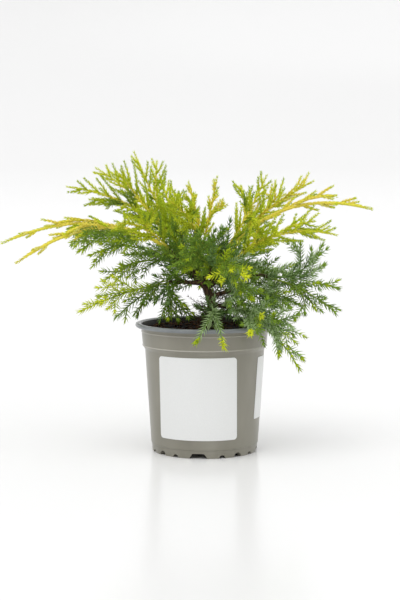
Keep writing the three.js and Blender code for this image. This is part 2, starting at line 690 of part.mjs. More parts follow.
// The shoot of a stem that has an order number: its length, angle and roll vary by chance
function shootOf(stem, index, number, { seed, habit }) {
  const { shoot, shootAngle, lift } = HABITS[habit];
  const share = stem.first + ((LAST_SHOOT - stem.first) * (index + 0.5)) / stem.shoots;
  const varied = 1 + LENGTH_SPREAD * (chance(seed, number, 1) - 0.5);
  const length = shoot * shootShare(share) * varied;
  const angle = radians(shootAngle + ANGLE_SPREAD * (chance(seed, number, 2) - 0.5));
  const roll = radians(index * ROLL_STEP + ROLL_SPREAD * (chance(seed, number, 3) - 0.5));
  const path = offshoot(stem.path, share, length, angle, roll, lift);
  return { path, radiusAt: shootRadius, rings: ringCount(path, SHOOT_RING_PITCH) };
}

// Stems of a mass: its leader, and the fork that leaves it
function stemsOf(grown) {
  const leader = leaderPath(grown);
  const fork = forkPath(grown, leader);
  const leaderRings = ringCount(leader, STEM_RING_PITCH);
  const forkRings = ringCount(fork, STEM_RING_PITCH);
  return [
    { path: leader, radiusAt: stemRadius, rings: leaderRings, shoots: LEADER_SHOOTS, first: FIRST_SHOOT },
    { path: fork, radiusAt: forkRadius, rings: forkRings, shoots: FORK_SHOOTS, first: FIRST_FORK_SHOOT },
  ];
}

// One mass: a leader and its fork, with toothed shoots round them in a rolling order, all fused
function foliage(grown) {
  const pieces = [];
  grown.stems.forEach((stem, stemIndex) => {
    pieces.push(toothedLimb(stem, teethOf(stem, BARE_LEADER, grown)));
    for (let index = 0; index < stem.shoots; index += 1) {
      const shoot = shootOf(stem, index, stemIndex * 100 + index, grown);
      const lengths = stretches(shoot.path, shootRadius, shoot.rings);
      if (isFree(lengths, grown.name)) {
        take(lengths, grown.name);
        pieces.push(toothedLimb(shoot, teethOf(shoot, BARE_SHOOT, grown)));
      }
    }
  });
  return largestBody(wasm.Manifold.union(pieces)).simplify(SLIVER);
}

const group = new THREE.Group();
group.add(meshOf("pot", pot(), COLOURS.pot, 0.5));
group.add(meshOf("soil", soil(), COLOURS.soil, 0.95));
group.add(meshOf("front_label", label(FRONT_LABEL), COLOURS.label, 0.6));
group.add(meshOf("side_label", label(SIDE_LABEL), COLOURS.label, 0.6));
group.add(meshOf("trunk", trunk(0), COLOURS.bark, 0.9));
take(stretches(trunkPath, trunkRadius, TRUNK_RINGS), "trunk");

// Boughs, each cut clear of the trunk and of the boughs before it
const cutters = [trunk(CUT_MARGIN)];
for (const [name, place] of Object.entries(BOUGHS)) {
  const path = boughPath(place);
  const cut = cutters.reduce((solid, cutter) => solid.subtract(cutter), bough(path, 0));
  group.add(meshOf(`bough_${name}`, largestBody(cut), COLOURS.bark, 0.9));
  cutters.push(bough(path, CUT_MARGIN));
  take(stretches(path, boughRadius, BOUGH_RINGS), `bough_${name}`);
  stemSides(MASSES.filter((carried) => carried.bough === name), path.at(1));
}

// Stems first, so that every mass has its own space, and then the shoots of each in turn
MASSES.forEach((grown, index) => {
  grown.seed = index + FIRST_SEED;
  grown.stems = stemsOf(grown);
  for (const { path, radiusAt, rings } of grown.stems) {
    take(stretches(path, radiusAt, rings), grown.name);
  }
});
for (const grown of MASSES) {
  group.add(meshOf(`foliage_${grown.name}`, foliage(grown), COLOURS[grown.colour], 0.7));
}

export default group;
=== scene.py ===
# A potted king of spring juniper: gold and lime sprays above, blue-green needles below, on a short
# leaning trunk in a grey nursery pot with two bare labels.
# The growth rule is worked out in millimetres and turned to metres where a mesh is made.

import functools
import math

import bmesh
import bpy
import numpy as np
from mathutils import Matrix, Vector, noise


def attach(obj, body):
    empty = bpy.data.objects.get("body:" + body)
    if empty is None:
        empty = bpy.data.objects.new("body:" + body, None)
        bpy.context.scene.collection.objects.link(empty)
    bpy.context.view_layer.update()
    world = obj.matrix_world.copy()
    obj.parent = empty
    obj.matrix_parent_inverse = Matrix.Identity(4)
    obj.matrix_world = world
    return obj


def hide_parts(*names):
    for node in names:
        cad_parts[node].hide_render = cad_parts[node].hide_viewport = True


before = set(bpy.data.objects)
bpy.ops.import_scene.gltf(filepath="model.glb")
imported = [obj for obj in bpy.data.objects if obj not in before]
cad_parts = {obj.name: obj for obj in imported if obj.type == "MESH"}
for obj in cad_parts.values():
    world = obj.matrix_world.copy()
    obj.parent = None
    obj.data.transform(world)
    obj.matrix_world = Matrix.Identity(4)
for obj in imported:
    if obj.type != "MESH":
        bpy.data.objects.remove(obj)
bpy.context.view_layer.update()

MM = 0.001

# Clearance that the part keeps between its pieces
CLEARANCE = 0.3
CUT_MARGIN = CLEARANCE + 0.1

# Pot
WALL = 1.2
RIM_RADIUS = 65
RIM_HEIGHT = 120.6
RIM_UNDERSIDE = 116.8
RIM_INNER_RADIUS = 60
RIM_CREST_RADIUS = 62.8
RIM_ROUNDING = 0.9
SHOULDER_TOP_RADIUS = 59.5
SHOULDER_TOP_HEIGHT = 116.5
SHOULDER_LOW_RADIUS = 58.1
SHOULDER_LOW_HEIGHT = 99.5
SHOULDER_LINE_HEIGHT = 112.4
BEAD = 0.45
BODY_TOP_RADIUS = 56
BODY_TOP_HEIGHT = 96
BODY_LOW_RADIUS = 50.3
FOOT_HEIGHT = 7.5
FOOT_RADIUS = 49.2
FOOT_TOP_RADIUS = 49.6
FOOT_RING_INNER_RADIUS = 43.8
FLOOR_UNDERSIDE = 5
STANDING_PAD_RADIUS = 14
DRAFT = 0.6
POT_STEPS = 144
FRONT_NOTCH_ANGLE = -97
WIDE_NOTCH_LOW = 17
WIDE_NOTCH_HIGH = 11
WIDE_NOTCH_HEIGHT = 4.6
ROUND_NOTCHES = ((26, 3), (45, 4.2), (64, 3))
QUARTERS = 4
DRAIN_HOLES = 4
DRAIN_HOLE_RADIUS = 4
DRAIN_RING_RADIUS = 29
CUTTER_OVERLAP = 3
NOTCH_INNER = FOOT_RING_INNER_RADIUS - CUTTER_OVERLAP
NOTCH_OUTER = FOOT_RADIUS + CUTTER_OVERLAP

# Growing medium
SOIL_TOP = 113.5
SOIL_LEVEL_RADIUS = 46
SOIL_EDGE_DROP = 1.5
SOIL_GAP = 1.65
SOIL_BITS = 420
PEAT_HEAP = 3
PEAT_HEAP_START = 30
PEAT_HEAP_WIDTH = 25
BROAD_RELIEF = 0.5
CRUMB_RELIEF = 0.9

# Labels: ends in degrees about the axis, heights and corner radii
LABEL_THICKNESS = 0.4
LABEL_CLEARANCE = 0.12
FRONT_LABEL = {"from": -141.7, "to": -55.1, "low": 17, "high": 93.5, "corner": 3.2}
SIDE_LABEL = {"from": -29.6, "to": -8, "low": 33, "high": 91, "corner": 1.5}
LABEL_COLUMN_WIDTH = 2.5

# Stage
SWEEP_FLAT = 2600
SWEEP_CURVE = 1500
SWEEP_STEPS = 16

# Trunk
TRUNK_FOOT = SOIL_TOP + CLEARANCE
TRUNK_LENGTH = 68
TRUNK_PLACES = ((5.9, 0, TRUNK_FOOT), (7.6, 0, 130), (2.2, 1, 151), (-6, 1.5, 163), (-12, 2, 176))
TRUNK_FLARE_RADIUS = 7.8
TRUNK_LOW_RADIUS = 5.1
TRUNK_TOP_RADIUS = 2.9
FLARE_SHARE = 0.16
FLARE_LOBES = 3
LOBE_DEPTH = 0.12

# Boughs
BOUGH_BASE_RADIUS = 2.3
BOUGH_TIP_RADIUS = 1.45
BOUGH_HOLD = 0.5

# Bark: its relief, the pitch of its corners, its rounded ends, and how far a bough is drawn out at its tip
TRUNK_RELIEF = 0.7
BOUGH_RELIEF = 0.35
BARK_RING_PITCH = 1.1
BARK_END = 1.5
TIP_STRETCH = 1.2

# Stems of the foliage masses
STEM_RADIUS = 0.95
STEM_TIP_RADIUS = 0.45
STEM_SPACING = 1.4
STEM_HOLD = 0.45
BOUGH_PULL = 0.7
FORK_SHARE = 0.42
FORK_BEND_SHARE = 0.3

# Shoots: the part's rule, with FINE times as many. Those between the part's own spread flat to the light.
FINE = 7
LEADER_SHOOTS = 6 * FINE
FORK_SHOOTS = 2 * FINE
FIRST_SHOOT = 0.06
FIRST_FORK_SHOOT = 0.25
LAST_SHOOT = 0.92
ROLL_STEP = 135
ROLL_SPREAD = 50
FLAT_SPREAD = 22
FRONT = np.array((0.0, -1.0, 0.0))
ANGLE_SPREAD = 14
LENGTH_SPREAD = 0.4
FORWARD_TURN = 0.22
FIRST_SHOOT_SHARE = 0.6
SHOOT_SHARE_GAIN = 3
SHOOT_SHARE_LOSS = 0.68
SHOOT_HOLD = 0.5
FIRST_SEED = 11

# Habits of growth, in millimetres and degrees. Of each FINE shoots, those whose numbers are "kept" grow.
HABITS = {
    "whip": {
        "shoot": 22, "angle": 30, "lift": 0, "kept": (1, 3), "single_angle": 25, "single_length": 1.4,
        "first_single": 0.5, "spray_pitch": 100,
        "stem_tip": 1.4, "core": 1.2, "core_tip": 0.7, "tuft": 0,
        "needle": 3.8, "needle_angle": 20, "needle_width": 1.5, "pitch": 1.7, "bow": 0.03, "closing": 0.25,
    },
    "feather": {
        "shoot": 31, "angle": 42, "lift": 0.12, "kept": (1, 3, 5), "single_angle": 36, "single_length": 1.1,
        "first_single": 0, "spray": 13, "spray_angle": 42, "spray_pitch": 8,
        "stem_tip": 0.5, "core": 1.0, "core_tip": 0.5, "tuft": 0,
        "needle": 4.0, "needle_angle": 33, "needle_width": 1.4, "pitch": 2.1, "bow": 0.03, "closing": 0.5,
    },
    "brush": {
        "shoot": 27, "angle": 48, "lift": 0.05, "kept": (1, 3), "single_angle": 42, "single_length": 1.3,
        "first_single": 0, "spray": 17, "spray_angle": 42, "spray_pitch": 15,
        "stem_tip": 0.45, "core": 0.55, "core_tip": 0.35, "tuft": 5,
        "needle": 7.6, "needle_angle": 46, "needle_width": 1.7, "pitch": 2.9, "bow": -0.01, "closing": 0.45,
    },
}
# How far out from a shoot's middle its needles start, as a share of its core
NEEDLE_FOOT = 0.6
# How long needles are on sprays and stems for those on shoots, and where on a stem they start
SPRAY_NEEDLE = 0.92
STEM_NEEDLE = 1.1
SPARSE_STEM_NEEDLE = 1.25
FIRST_STEM_NEEDLE = 0.18
# How far shoots keep off the pot, soil and limbs, to leave room for their needles
SHOOT_REACH = 1
# Bushy growing ends: where their needles start, the least and greatest length, and the lean in degrees
FIRST_TUFT_NEEDLE = 0.9
TUFT_LENGTHS = (0.65, 0.95)
TUFT_LEAN = (3, 24)
# Star-shaped growing ends
STAR_LEAN = (15, 80)
STAR_NEEDLES = 18
# Where a needle is widest, and how thick it is for its width
NEEDLE_WIDEST = 0.25
NEEDLE_FLATNESS = 0.7
# How needles vary: in place as a share of the pitch, in turn, in lean and in length, which falls to the tip
WHORL_SLIP = 0.15
WHORL_WANDER = 0.15
RANK_WANDER = 0.24
LEAN_SPREAD = (0.9, 1.1)
NEEDLE_SPREAD = (0.88, 1.1)
NEEDLE_LOSS = 0.3
# Needles longer than this stand in two ranks, with a third needle that points forwards and backwards in turn
LONGEST_WHORLED_NEEDLE = 5
# Sprays: where on a stem the last shoot bears them, how much of a shoot does, and where the first one leaves
# it as a share of their pitch. Then how much shorter the last ones are, how they vary in length and angle,
# how thick they are for a shoot, and where needles start on sprays and on shoots.
LAST_SPRAYED_SHOOT = 0.62
SPRAYED_SHARE = 0.8
FIRST_SPRAY = 0.7
SPRAY_LOSS = 0.6
SPRAY_SPREAD = (0.65, 1.25)
SPRAY_ANGLE_SPREAD = 5
SPRAY_CORE = 0.8
FIRST_SPRAY_NEEDLE = 0.08
FIRST_SHOOT_NEEDLE = 0.06

# Boughs: the height where each leaves the trunk, its heading there, its tip, and its leafy shoots
BOUGHS = {
    "left_upper": (168, (-0.7, 0.1, 0.9), (-27, 6, 196), "green", 30),
    "left_reach": (163, (-0.9, -0.2, 0.7), (-34, -9, 190), "green", 22),
    "left_low": (157, (-1, -0.15, 0.1), (-33, -8, 159), "deep", 20),
    "left_back": (158, (-0.7, 0.7, 0.4), (-28, 18, 174), "deep", 22),
    "centre": (171, (0.3, 0, 1), (-3, -3, 194), "green", 32),
    "right_upper": (160, (0.8, 0.1, 0.8), (22, 6, 190), "green", 30),
    "right_reach": (155, (0.9, -0.3, 0.6), (26, -10, 177), "green", 24),
    "right_low": (152, (0.9, 0, 0.75), (62, -3, 163), "deep", 18),
    "right_front": (136, (0.8, -0.6, 0.1), (30, -19, 134), "blue", 22),
    "right_inner": (144, (0.9, -0.2, 0.4), (34, 2, 151), "blue", 22),
    "front_low": (128, (0, -1, 0.35), (5, -28, 131), "blue", 20),
    "front_upper": (157, (0.3, -1, 0.4), (6, -22, 172), "tuft", 22),
    "back_left": (164, (-0.3, 1, 0.5), (-18, 28, 186), "green", 26),
    "back_right": (154, (0.5, 1, 0.4), (18, 28, 172), "deep", 26),
}

# Foliage masses: name, bough, tip, tip of the fork, bend of the leader, habit and colour
MASSES = (
    ("left_crest", "left_upper", (-66, 10, 279.5), (-45, 25, 271), (0, 0, -6), "feather", "lime"),
    ("left_fan", "left_upper", (-100, -15, 264.7), (-81, -5, 261), (0, 0, 6), "feather", "lime"),
    ("left_feather", "left_upper", (-128.7, 12, 247), (-108.7, 20, 235), (0, 0, 10), "feather", "gold"),
    ("left_reach", "left_reach", (-190, 5, 194.6), (-140, 0, 213), (0, 0, 19), "whip", "gold"),
    ("left_whip", "left_reach", (-172, -38, 178.5), (-128, -36, 205), (0, 0, 28), "whip", "gold"),
    ("left_front", "left_reach", (-78, -78, 216), (-48, -70, 214), (0, 0, 8), "feather", "lime"),
    ("left_under", "left_back", (-127.6, 34, 193.8), (-108, 25, 182), (0, 0, 10), "brush", "green"),
    ("left_mid", "left_back", (-93, 0, 160), (-84, 30, 168), (0, 0, 7), "brush", "deep"),
    ("left_low", "left_low", (-113.6, -30, 134), (-97, -34, 148), (0, 0, 3), "brush", "green"),
    ("left_hanging", "left_low", (-63.6, 4, 125.2), (-82, -14, 127), (0, 0, 10), "brush", "blue"),
    ("inner_hanging", "left_low", (-12, -14, 127), (-31, -20, 128), (-3, 0, 4), "brush", "blue"),
    ("centre_crest", "centre", (11.4, -6, 256.3), (18, 2, 232), (0, 0, 0), "feather", "gold"),
    ("centre_left", "centre", (-15, 20, 251), (-17, -10, 240), (-3, 0, 0), "feather", "gold"),
    ("front_left", "centre", (-32, -62, 236), (-14, -52, 222), (-6, 0, 4), "feather", "lime"),
    ("right_crest", "right_upper", (58, 5, 258), (34, 15, 248.6), (0, 0, -4), "feather", "lime"),
    ("right_fan", "right_upper", (102.8, 24, 252), (74, 32, 242.8), (0, 0, 7), "feather", "gold"),
    ("right_whip", "right_upper", (154.8, -10, 226.9), (123, 4, 238.7), (0, 0, 26), "whip", "gold"),
    ("right_reach", "right_reach", (120.8, -34, 203.8), (101, -22, 216), (0, 0, 20), "feather", "lime"),
    ("right_front", "right_reach", (66, -78, 206), (48, -66, 218), (0, 0, 6), "feather", "green"),
    ("right_mid", "right_low", (110.7, 14, 191.6), (84, 8, 195), (6, 0, -8), "brush", "blue"),
    ("right_low", "right_low", (123, -10, 153.5), (110.6, 0, 174), (0, 0, 4), "brush", "blue"),
    ("right_drop", "right_low", (119, -38, 133.6), (92, -26, 132), (0, 0, 6), "brush", "deep"),
    ("right_side", "right_inner", (80, 22, 134), (70, 38, 142), (0, 0, 6), "brush", "deep"),
    ("right_inner", "right_inner", (84, -16, 140), (62, -22, 146), (0, 0, 4), "brush", "blue"),
    ("right_hanging", "right_front", (85.7, -60, 83.6), (82, -56, 108), (-6, -22, 26), "brush", "green"),
    ("right_low_front", "right_front", (78, -40, 122), (66, -60, 128), (0, 0, 4), "brush", "blue"),
    ("front_right", "right_front", (40, -79, 118), (50, -70, 134), (0, 0, 12), "brush", "lime"),
    ("front_sprig", "front_low", (16.9, -79, 106.8), (-8, -78, 110.7), (0, 0, 25), "brush", "blue"),
    ("front_gold", "front_upper", (36, -86, 169.6), (14, -84, 166), (0, 0, 10), "brush", "gold"),
    ("front_mid", "front_upper", (-30, -82, 178), (-12, -78, 194), (0, 0, 8), "brush", "green"),
    ("front_inner", "front_upper", (44, -58, 148), (30, -64, 146), (0, 0, 2), "brush", "blue"),
    ("back_crest", "back_left", (-44, 66, 258), (-26, 62, 240), (0, 0, 0), "feather", "lime"),
    ("back_left", "back_left", (-88, 84, 228), (-66, 86, 236), (0, 0, 8), "feather", "lime"),
    ("back_reach", "back_left", (-40, 138, 196), (-20, 118, 208), (0, 0, 14), "feather", "gold"),
    ("back_right", "back_right", (70, 100, 228), (46, 92, 230), (0, 0, 10), "feather", "lime"),
    ("back_low_right", "back_right", (68, 98, 150), (86, 74, 160), (0, 0, 2), "brush", "blue"),
    ("back_low_left", "back_right", (-14, 112, 146), (8, 106, 142), (0, 0, 14), "brush", "deep"),
)

# Needles: sRGB hex value, the record's slot, the core that shows between them, and the spray's growing end,
# which is greener on gold sprays and lighter on green ones
NEEDLES = {
    "whip": (0xF2E262, "foliage_gold", "gold", "lime"),
    "gold": (0xEAE44C, "foliage_gold", "gold", "lime"),
    "pale": (0xF2F08C, "foliage_gold", "gold", "lime"),
    "lime": (0xD4E032, "foliage_lime", "lime", "bright"),
    "fresh": (0xE6F036, "foliage_lime", "lime", "lime"),
    "bright": (0xA9C024, "foliage_green", "lime", "bright"),
    "green": (0x84A438, "foliage_green", "green", "bright"),
    "deep": (0x66872E, "foliage_deep", "green", "green"),
    "blue": (0xA2BC80, "foliage_blue", "blue", "green"),
    "shade": (0x6D8C4C, "foliage_blue", "blue", "blue"),
    "dead": (0x4F3621, "bark", "brown", "dead"),
}
CORES = {name: core for name, (_, _, core, _) in NEEDLES.items()}
TIP_COLOURS = {name: tip for name, (*_, tip) in NEEDLES.items()}
TWIGS = {
    "gold": (0xE8D854, "foliage_gold"),
    "lime": (0xBCC632, "foliage_lime"),
    "green": (0x84983A, "foliage_green"),
    "blue": (0x75904E, "foliage_blue"),
    "tan": (0xD2AE40, "foliage_gold"),
    "brown": (0x533A25, "bark"),
}

# What sprays are dealt: their stem's colour, and colours by chance on inner, middle and outer shoots
INNER_SHARE = 0.22
MIDDLE_SHARE = 0.6
DEALT = {
    "whip": ("gold", ("lime", "bright"), ("gold", "whip", "lime"), ("whip", "gold", "pale")),
    "gold": ("tan", ("bright", "lime", "lime"), ("lime", "gold", "lime"), ("gold", "lime", "pale", "gold")),
    "lime": (
        "gold", ("green", "bright", "bright"), ("bright", "lime", "green", "lime"),
        ("lime", "lime", "fresh", "bright")),
    "tuft": (
        "green", ("green", "deep", "green"), ("green", "bright", "green"),
        ("lime", "fresh", "bright", "fresh")),
    "green": ("green", ("deep", "green", "shade"), ("green", "green", "bright"), ("green", "bright")),
    "yellow_end": (
        "green", ("deep", "green", "shade"), ("bright", "lime", "lime"), ("lime", "lime", "fresh")),
    "deep": ("green", ("deep", "shade", "deep"), ("deep", "green"), ("green", "deep")),
    "blue": ("blue", ("shade", "shade", "deep"), ("blue", "shade", "blue"), ("blue", "blue", "green")),
}
# Masses whose sprays are dealt other colours than their node's own
DEALT_OTHERWISE = {
    "left_reach": "whip", "left_whip": "whip", "right_whip": "whip", "left_feather": "lime",
    "front_gold": "tuft", "front_right": "blue", "left_low": "yellow_end", "right_hanging": "blue",
    "front_mid": "deep", "left_hanging": "deep", "inner_hanging": "deep", "left_mid": "green",
    "right_front": "lime",
}
# Masses of slender spikes, as a share of a shoot's length. With none, the two stems alone bear the needles.
SLENDER = {
    "centre_crest": 0.42, "centre_left": 0.38, "left_crest": 0.85, "right_crest": 0.85, "front_sprig": 0,
    "left_hanging": 0.7, "inner_hanging": 0.75, "right_hanging": 1,
}
# Masses whose stems end in a star of needles
STARS = ("front_sprig", "front_right", "front_gold")
# Masses that bear only the part's own shoots, so that each shows as a herring-bone
SPARSE = (
    "front_sprig", "front_gold", "front_right", "right_mid", "right_low", "right_drop", "right_side",
    "left_mid", "left_low", "left_hanging",
)
# Whips whose inner half bears green shoots as well
LEAFY_WHIPS = ("left_reach", "left_whip")
# How far the shoots of a mass droop, where they don't lift as their habit's do
DROOP = {"left_hanging": -0.2, "inner_hanging": -0.2, "right_hanging": -0.3}
# The brighter growing ends of some masses, and the share of the stem from which its shoots have them too
BRIGHT_TIPS = {
    "left_low": ("lime", 0.25), "front_sprig": ("lime", 1), "front_right": ("fresh", 1),
    "front_gold": ("fresh", 0.5), "left_whip": ("gold", 0.4), "right_hanging": ("bright", 0.6),
}
NO_BRIGHT_TIP = (None, 1)
# Where on a shoot its growing end starts, and where on a stem that ends in a star
TIP_SHARE = 0.7
STAR_TIP_SHARE = 0.87
# Shoots nearer to a stem's foot than this share of it have ends of their own colour
FIRST_LIGHT_TIP = 0.35

# Leafy shoots, which hide the bare wood inside the crown. Those of the trunk and of the whips have a colour
# and a length here, and the whips' stand between two shares.
LEAFY_SHOOT_PITCH = 2.4
LEAFY_SHOOT_ANGLE = 52
LEAFY_ANGLE_SPREAD = 8
LEAFY_ROLL_SPREAD = 10
LEAFY_SHOOT_SPREAD = (0.7, 1.2)
LEAFY_SHOOT_LIFT = 0.1
FIRST_LEAFY_SHOOT = 0.22
GOLDEN_ANGLE = 137.5
TRUNK_SHOOTS = ("deep", 22)
WHIP_SHOOTS = ("tuft", 24, 0.12, 0.55)
# Dead twigs with dry needles round the trunk's foot
DEAD_TWIGS = 60
DRY_NEEDLES = {"needle": 5, "needle_width": 0.6, "pitch": 2.6}
# Seeds of the leafy shoots, the dead twigs and the bits of bark, and the first number of the finer shoots
BOUGH_SEED = 500
TRUNK_SEED = 600
WHIP_SEED = 700
DEAD_TWIG_SEED = 77
SOIL_BIT_SEED = 5
FIRST_FINE_NUMBER = 1000


# Numbers and arrays

UP = np.array((0.0, 0.0, 1.0))
EAST = np.array((1.0, 0.0, 0.0))
# Corners nearer to a template's axis than this lie on it
ON_AXIS = 1e-4


def unit(vector):
    """The vector, or each row of an array of them, at length one."""
    return vector / np.linalg.norm(vector, axis=-1, keepdims=True)


def blend(first, last, share):
    return first + (last - first) * share


def chance(seed, place, use):
    """A number from 0 to 1 that is always the same for the same three whole numbers, as in the part."""
    prime = 2147483647
    multiplier = 48271
    state = (seed * 7919 + place * 104729 + use * 15485863 + 1) % prime
    for _ in range(3):
        state = (state * multiplier) % prime
    return state / prime


# Meshes

def new_object(name, mesh):
    piece = bpy.data.objects.new(name, mesh)
    bpy.context.scene.collection.objects.link(piece)
    return piece


def finish_bmesh(bm, name):
    """Turns a bmesh in millimetres into a smooth object in metres at the origin."""
    bmesh.ops.recalc_face_normals(bm, faces=bm.faces[:])
    bmesh.ops.scale(bm, vec=(MM, MM, MM), verts=bm.verts[:])
    mesh = bpy.data.meshes.new(name)
    bm.to_mesh(mesh)
    bm.free()
    mesh.shade_smooth()
    return new_object(name, mesh)


class Joined:
    """Many small closed shapes gathered as arrays and made into one mesh."""

    def __init__(self):
        self.places = []
        self.faces = []
        self.count = 0

    def add(self, places, faces):
        self.places.append(places)
        self.faces.append(faces + self.count)
        self.count += len(places)

    def object(self, name):
        """The mesh as a smooth object in metres at the origin."""
        places = np.concatenate(self.places).astype(np.float32) * MM
        mesh = bpy.data.meshes.new(name)
        mesh.from_pydata(places, [], np.concatenate(self.faces))
        mesh.validate()
        mesh.shade_smooth()
        return new_object(name, mesh)


def template(bm):
    """A bmesh's vertices and triangles as arrays."""
    bmesh.ops.triangulate(bm, faces=bm.faces[:])
    bmesh.ops.recalc_face_normals(bm, faces=bm.faces[:])
    bm.verts.index_update()
    places = np.array([tuple(vertex.co) for vertex in bm.verts])
    faces = np.array([[vertex.index for vertex in face.verts] for face in bm.faces])
    bm.free()
    return places, faces


def upright_cone(sides, radius, height, foot):
    """A closed bmesh cone along Z that stands on a height."""
    bm = bmesh.new()
    lift = Matrix.Translation((0, 0, foot + height / 2))
    bmesh.ops.create_cone(
        bm, cap_ends=True, segments=sides, radius1=radius, radius2=0, depth=height, matrix=lift)
    bmesh.ops.remove_doubles(bm, verts=bm.verts[:], dist=1e-5)
    return bm


def add_loop(bm, place, normal):
    """Adds edges where a plane crosses a bmesh."""
    everything = bm.verts[:] + bm.edges[:] + bm.faces[:]
    bmesh.ops.bisect_plane(bm, geom=everything, plane_co=place, plane_no=normal)


@functools.cache
def limb_template(sides, rings):
    """A pointed unit limb along Z, with level rings of corners."""
    bm = upright_cone(sides, 1, 1, 0)
    for ring in range(1, rings):
        add_loop(bm, (0, 0, ring / rings), (0, 0, 1))
    return template(bm)


def limb(path, radius_at, sides, rings, longer=0.0):
    """Corners of a limb round a path, drawn out a little at its tip where asked, and its faces."""
    places, faces = limb_template(sides, rings)
    share = places[:, 2]
    angle = np.arctan2(places[:, 1], places[:, 0])
    off_axis = np.hypot(places[:, 0], places[:, 1]) > ON_AXIS
    place, along, rise = path.at(share)
    radius = (radius_at(share, angle) * off_axis)[:, None]
    return place + path.outward(rise, angle) * radius + along * (share * longer)[:, None], faces


# The growth rule of the part

class Path:
    """A curved path in one plane: its place, the way along and the way across at any share of it."""

    def __init__(self, start, control, end):
        self.start = start
        self.control = control
        self.end = end
        first = unit(control - start)
        last = unit(end - control)
        side = np.cross(first, last)
        if np.linalg.norm(side) < 0.05:
            side = np.cross(first, EAST if abs(first[2]) > 0.9 else UP)
        self.side = unit(side)
        self.length = float(np.linalg.norm(end - start))

    def at(self, share):
        share = np.asarray(share, dtype=float)[..., None]
        rest = 1 - share
        place = rest * rest * self.start + 2 * rest * share * self.control + share * share * self.end
        along = unit(rest * (self.control - self.start) + share * (self.end - self.control))
        return place, along, self.rise(along)

    def rise(self, along):
        return unit(np.cross(np.broadcast_to(self.side, along.shape), along))

    def outward(self, rise, angle):
        """The ways out from the path, at angles about it."""
        return self.side * np.cos(angle)[:, None] + rise * np.sin(angle)[:, None]

    def bearing(self, rise, aim):
        """The angle about the path at which an aim lies."""
        return math.atan2(aim @ rise, aim @ self.side)

    def spread(self, first, count):
        """Places spread evenly from a share of the path to its tip."""
        return self.at(np.linspace(first, 1, count))[0]


def spline(places, share):
    """A centripetal curve through places, at one share of it."""
    points = [np.array(place, dtype=float) for place in places]
    points = [2 * points[0] - points[1]] + points + [2 * points[-1] - points[-2]]
    position = share * (len(places) - 1)
    first = min(int(position), len(places) - 2)
    weight = position - first
    p0, p1, p2, p3 = points[first:first + 4]
    d0 = math.sqrt(np.linalg.norm(p1 - p0))
    d1 = math.sqrt(np.linalg.norm(p2 - p1))
    d2 = math.sqrt(np.linalg.norm(p3 - p2))
    early = ((p1 - p0) / d0 - (p2 - p0) / (d0 + d1) + (p2 - p1) / d1) * d1
    late = ((p2 - p1) / d1 - (p3 - p1) / (d1 + d2) + (p3 - p2) / d2) * d1
    square = -3 * p1 + 3 * p2 - 2 * early - late
    cube = 2 * p1 - 2 * p2 + early + late
    return p1 + early * weight + square * weight ** 2 + cube * weight ** 3


class TrunkPath(Path):
    """The trunk's middle."""

    STEPS = 200

    def __init__(self):
        shares = np.linspace(0, 1, self.STEPS + 1)
        self.places = np.array([spline(TRUNK_PLACES, share) for share in shares])
        self.alongs = unit(np.gradient(self.places, axis=0))
        self.alongs[0] = UP
        self.side = EAST
        self.length = TRUNK_LENGTH

    def at(self, share):
        index = np.clip(np.asarray(share, dtype=float) * self.STEPS, 0, self.STEPS)
        low = np.minimum(index.astype(int), self.STEPS - 1)
        part = (index - low)[..., None]
        place = blend(self.places[low], self.places[low + 1], part)
        along = unit(blend(self.alongs[low], self.alongs[low + 1], part))
        return place, along, self.rise(along)

    def at_height(self, height):
        return np.array([np.interp(height, self.places[:, 2], self.places[:, axis]) for axis in range(3)])


TRUNK = TrunkPath()


def trunk_radius(share, angle):
    taper = blend(TRUNK_LOW_RADIUS, TRUNK_TOP_RADIUS, share)
    flare = np.maximum(1 - share / FLARE_SHARE, 0) ** 2
    lobes = 1 + LOBE_DEPTH * flare * np.sin(FLARE_LOBES * angle + 1)
    return (taper + flare * (TRUNK_FLARE_RADIUS - TRUNK_LOW_RADIUS)) * lobes


def bough_radius(share, angle=0):
    return blend(BOUGH_BASE_RADIUS, BOUGH_TIP_RADIUS, share)


def bough_path(name):
    height, heading, tip, *_ = BOUGHS[name]
    start = TRUNK.at_height(height)
    end = np.array(tip, dtype=float)
    hold = np.linalg.norm(end - start) * BOUGH_HOLD
    return Path(start, start + unit(np.array(heading, dtype=float)) * hold, end)


def standoffs(bough):
    """Where each mass's stem stands off its bough's tip: evenly round it, in the order of spread."""
    path = bough_path(bough)
    place, along, rise = path.at(1.0)
    carried = []
    for name, carrier, tip, *_ in MASSES:
        if carrier == bough:
            aim = np.array(tip, dtype=float) - place
            carried.append((path.bearing(rise, aim), name))
    carried.sort()
    step = 2 * math.pi / len(carried)
    turns = [bearing - index * step for index, (bearing, _) in enumerate(carried)]
    first = math.atan2(sum(map(math.sin, turns)), sum(map(math.cos, turns)))
    result = {}
    for index, (_, name) in enumerate(carried):
        angle = first + index * step
        result[name] = (path.side * math.cos(angle) + rise * math.sin(angle)) * STEM_SPACING
    return result


def leader_path(bough, tip, bend, standoff):
    place, along, _ = bough_path(bough).at(1.0)
    end = np.array(tip, dtype=float)
    foot = place + standoff
    early = unit(unit(end - foot) + along * BOUGH_PULL)
    hold = early * np.linalg.norm(end - foot) * STEM_HOLD + np.array(bend, dtype=float)
    tilt = np.linalg.norm(np.cross(unit(hold), along))
    start = foot + along * (CUT_MARGIN + STEM_RADIUS * tilt)
    return Path(start, start + hold, end)


def fork_path(leader, fork, bend):
    place, along, _ = leader.at(FORK_SHARE)
    end = np.array(fork, dtype=float)
    early = unit(unit(end - place) + along)
    control = place + early * np.linalg.norm(end - place) * STEM_HOLD
    return Path(place, control + np.array(bend, dtype=float) * FORK_BEND_SHARE, end)


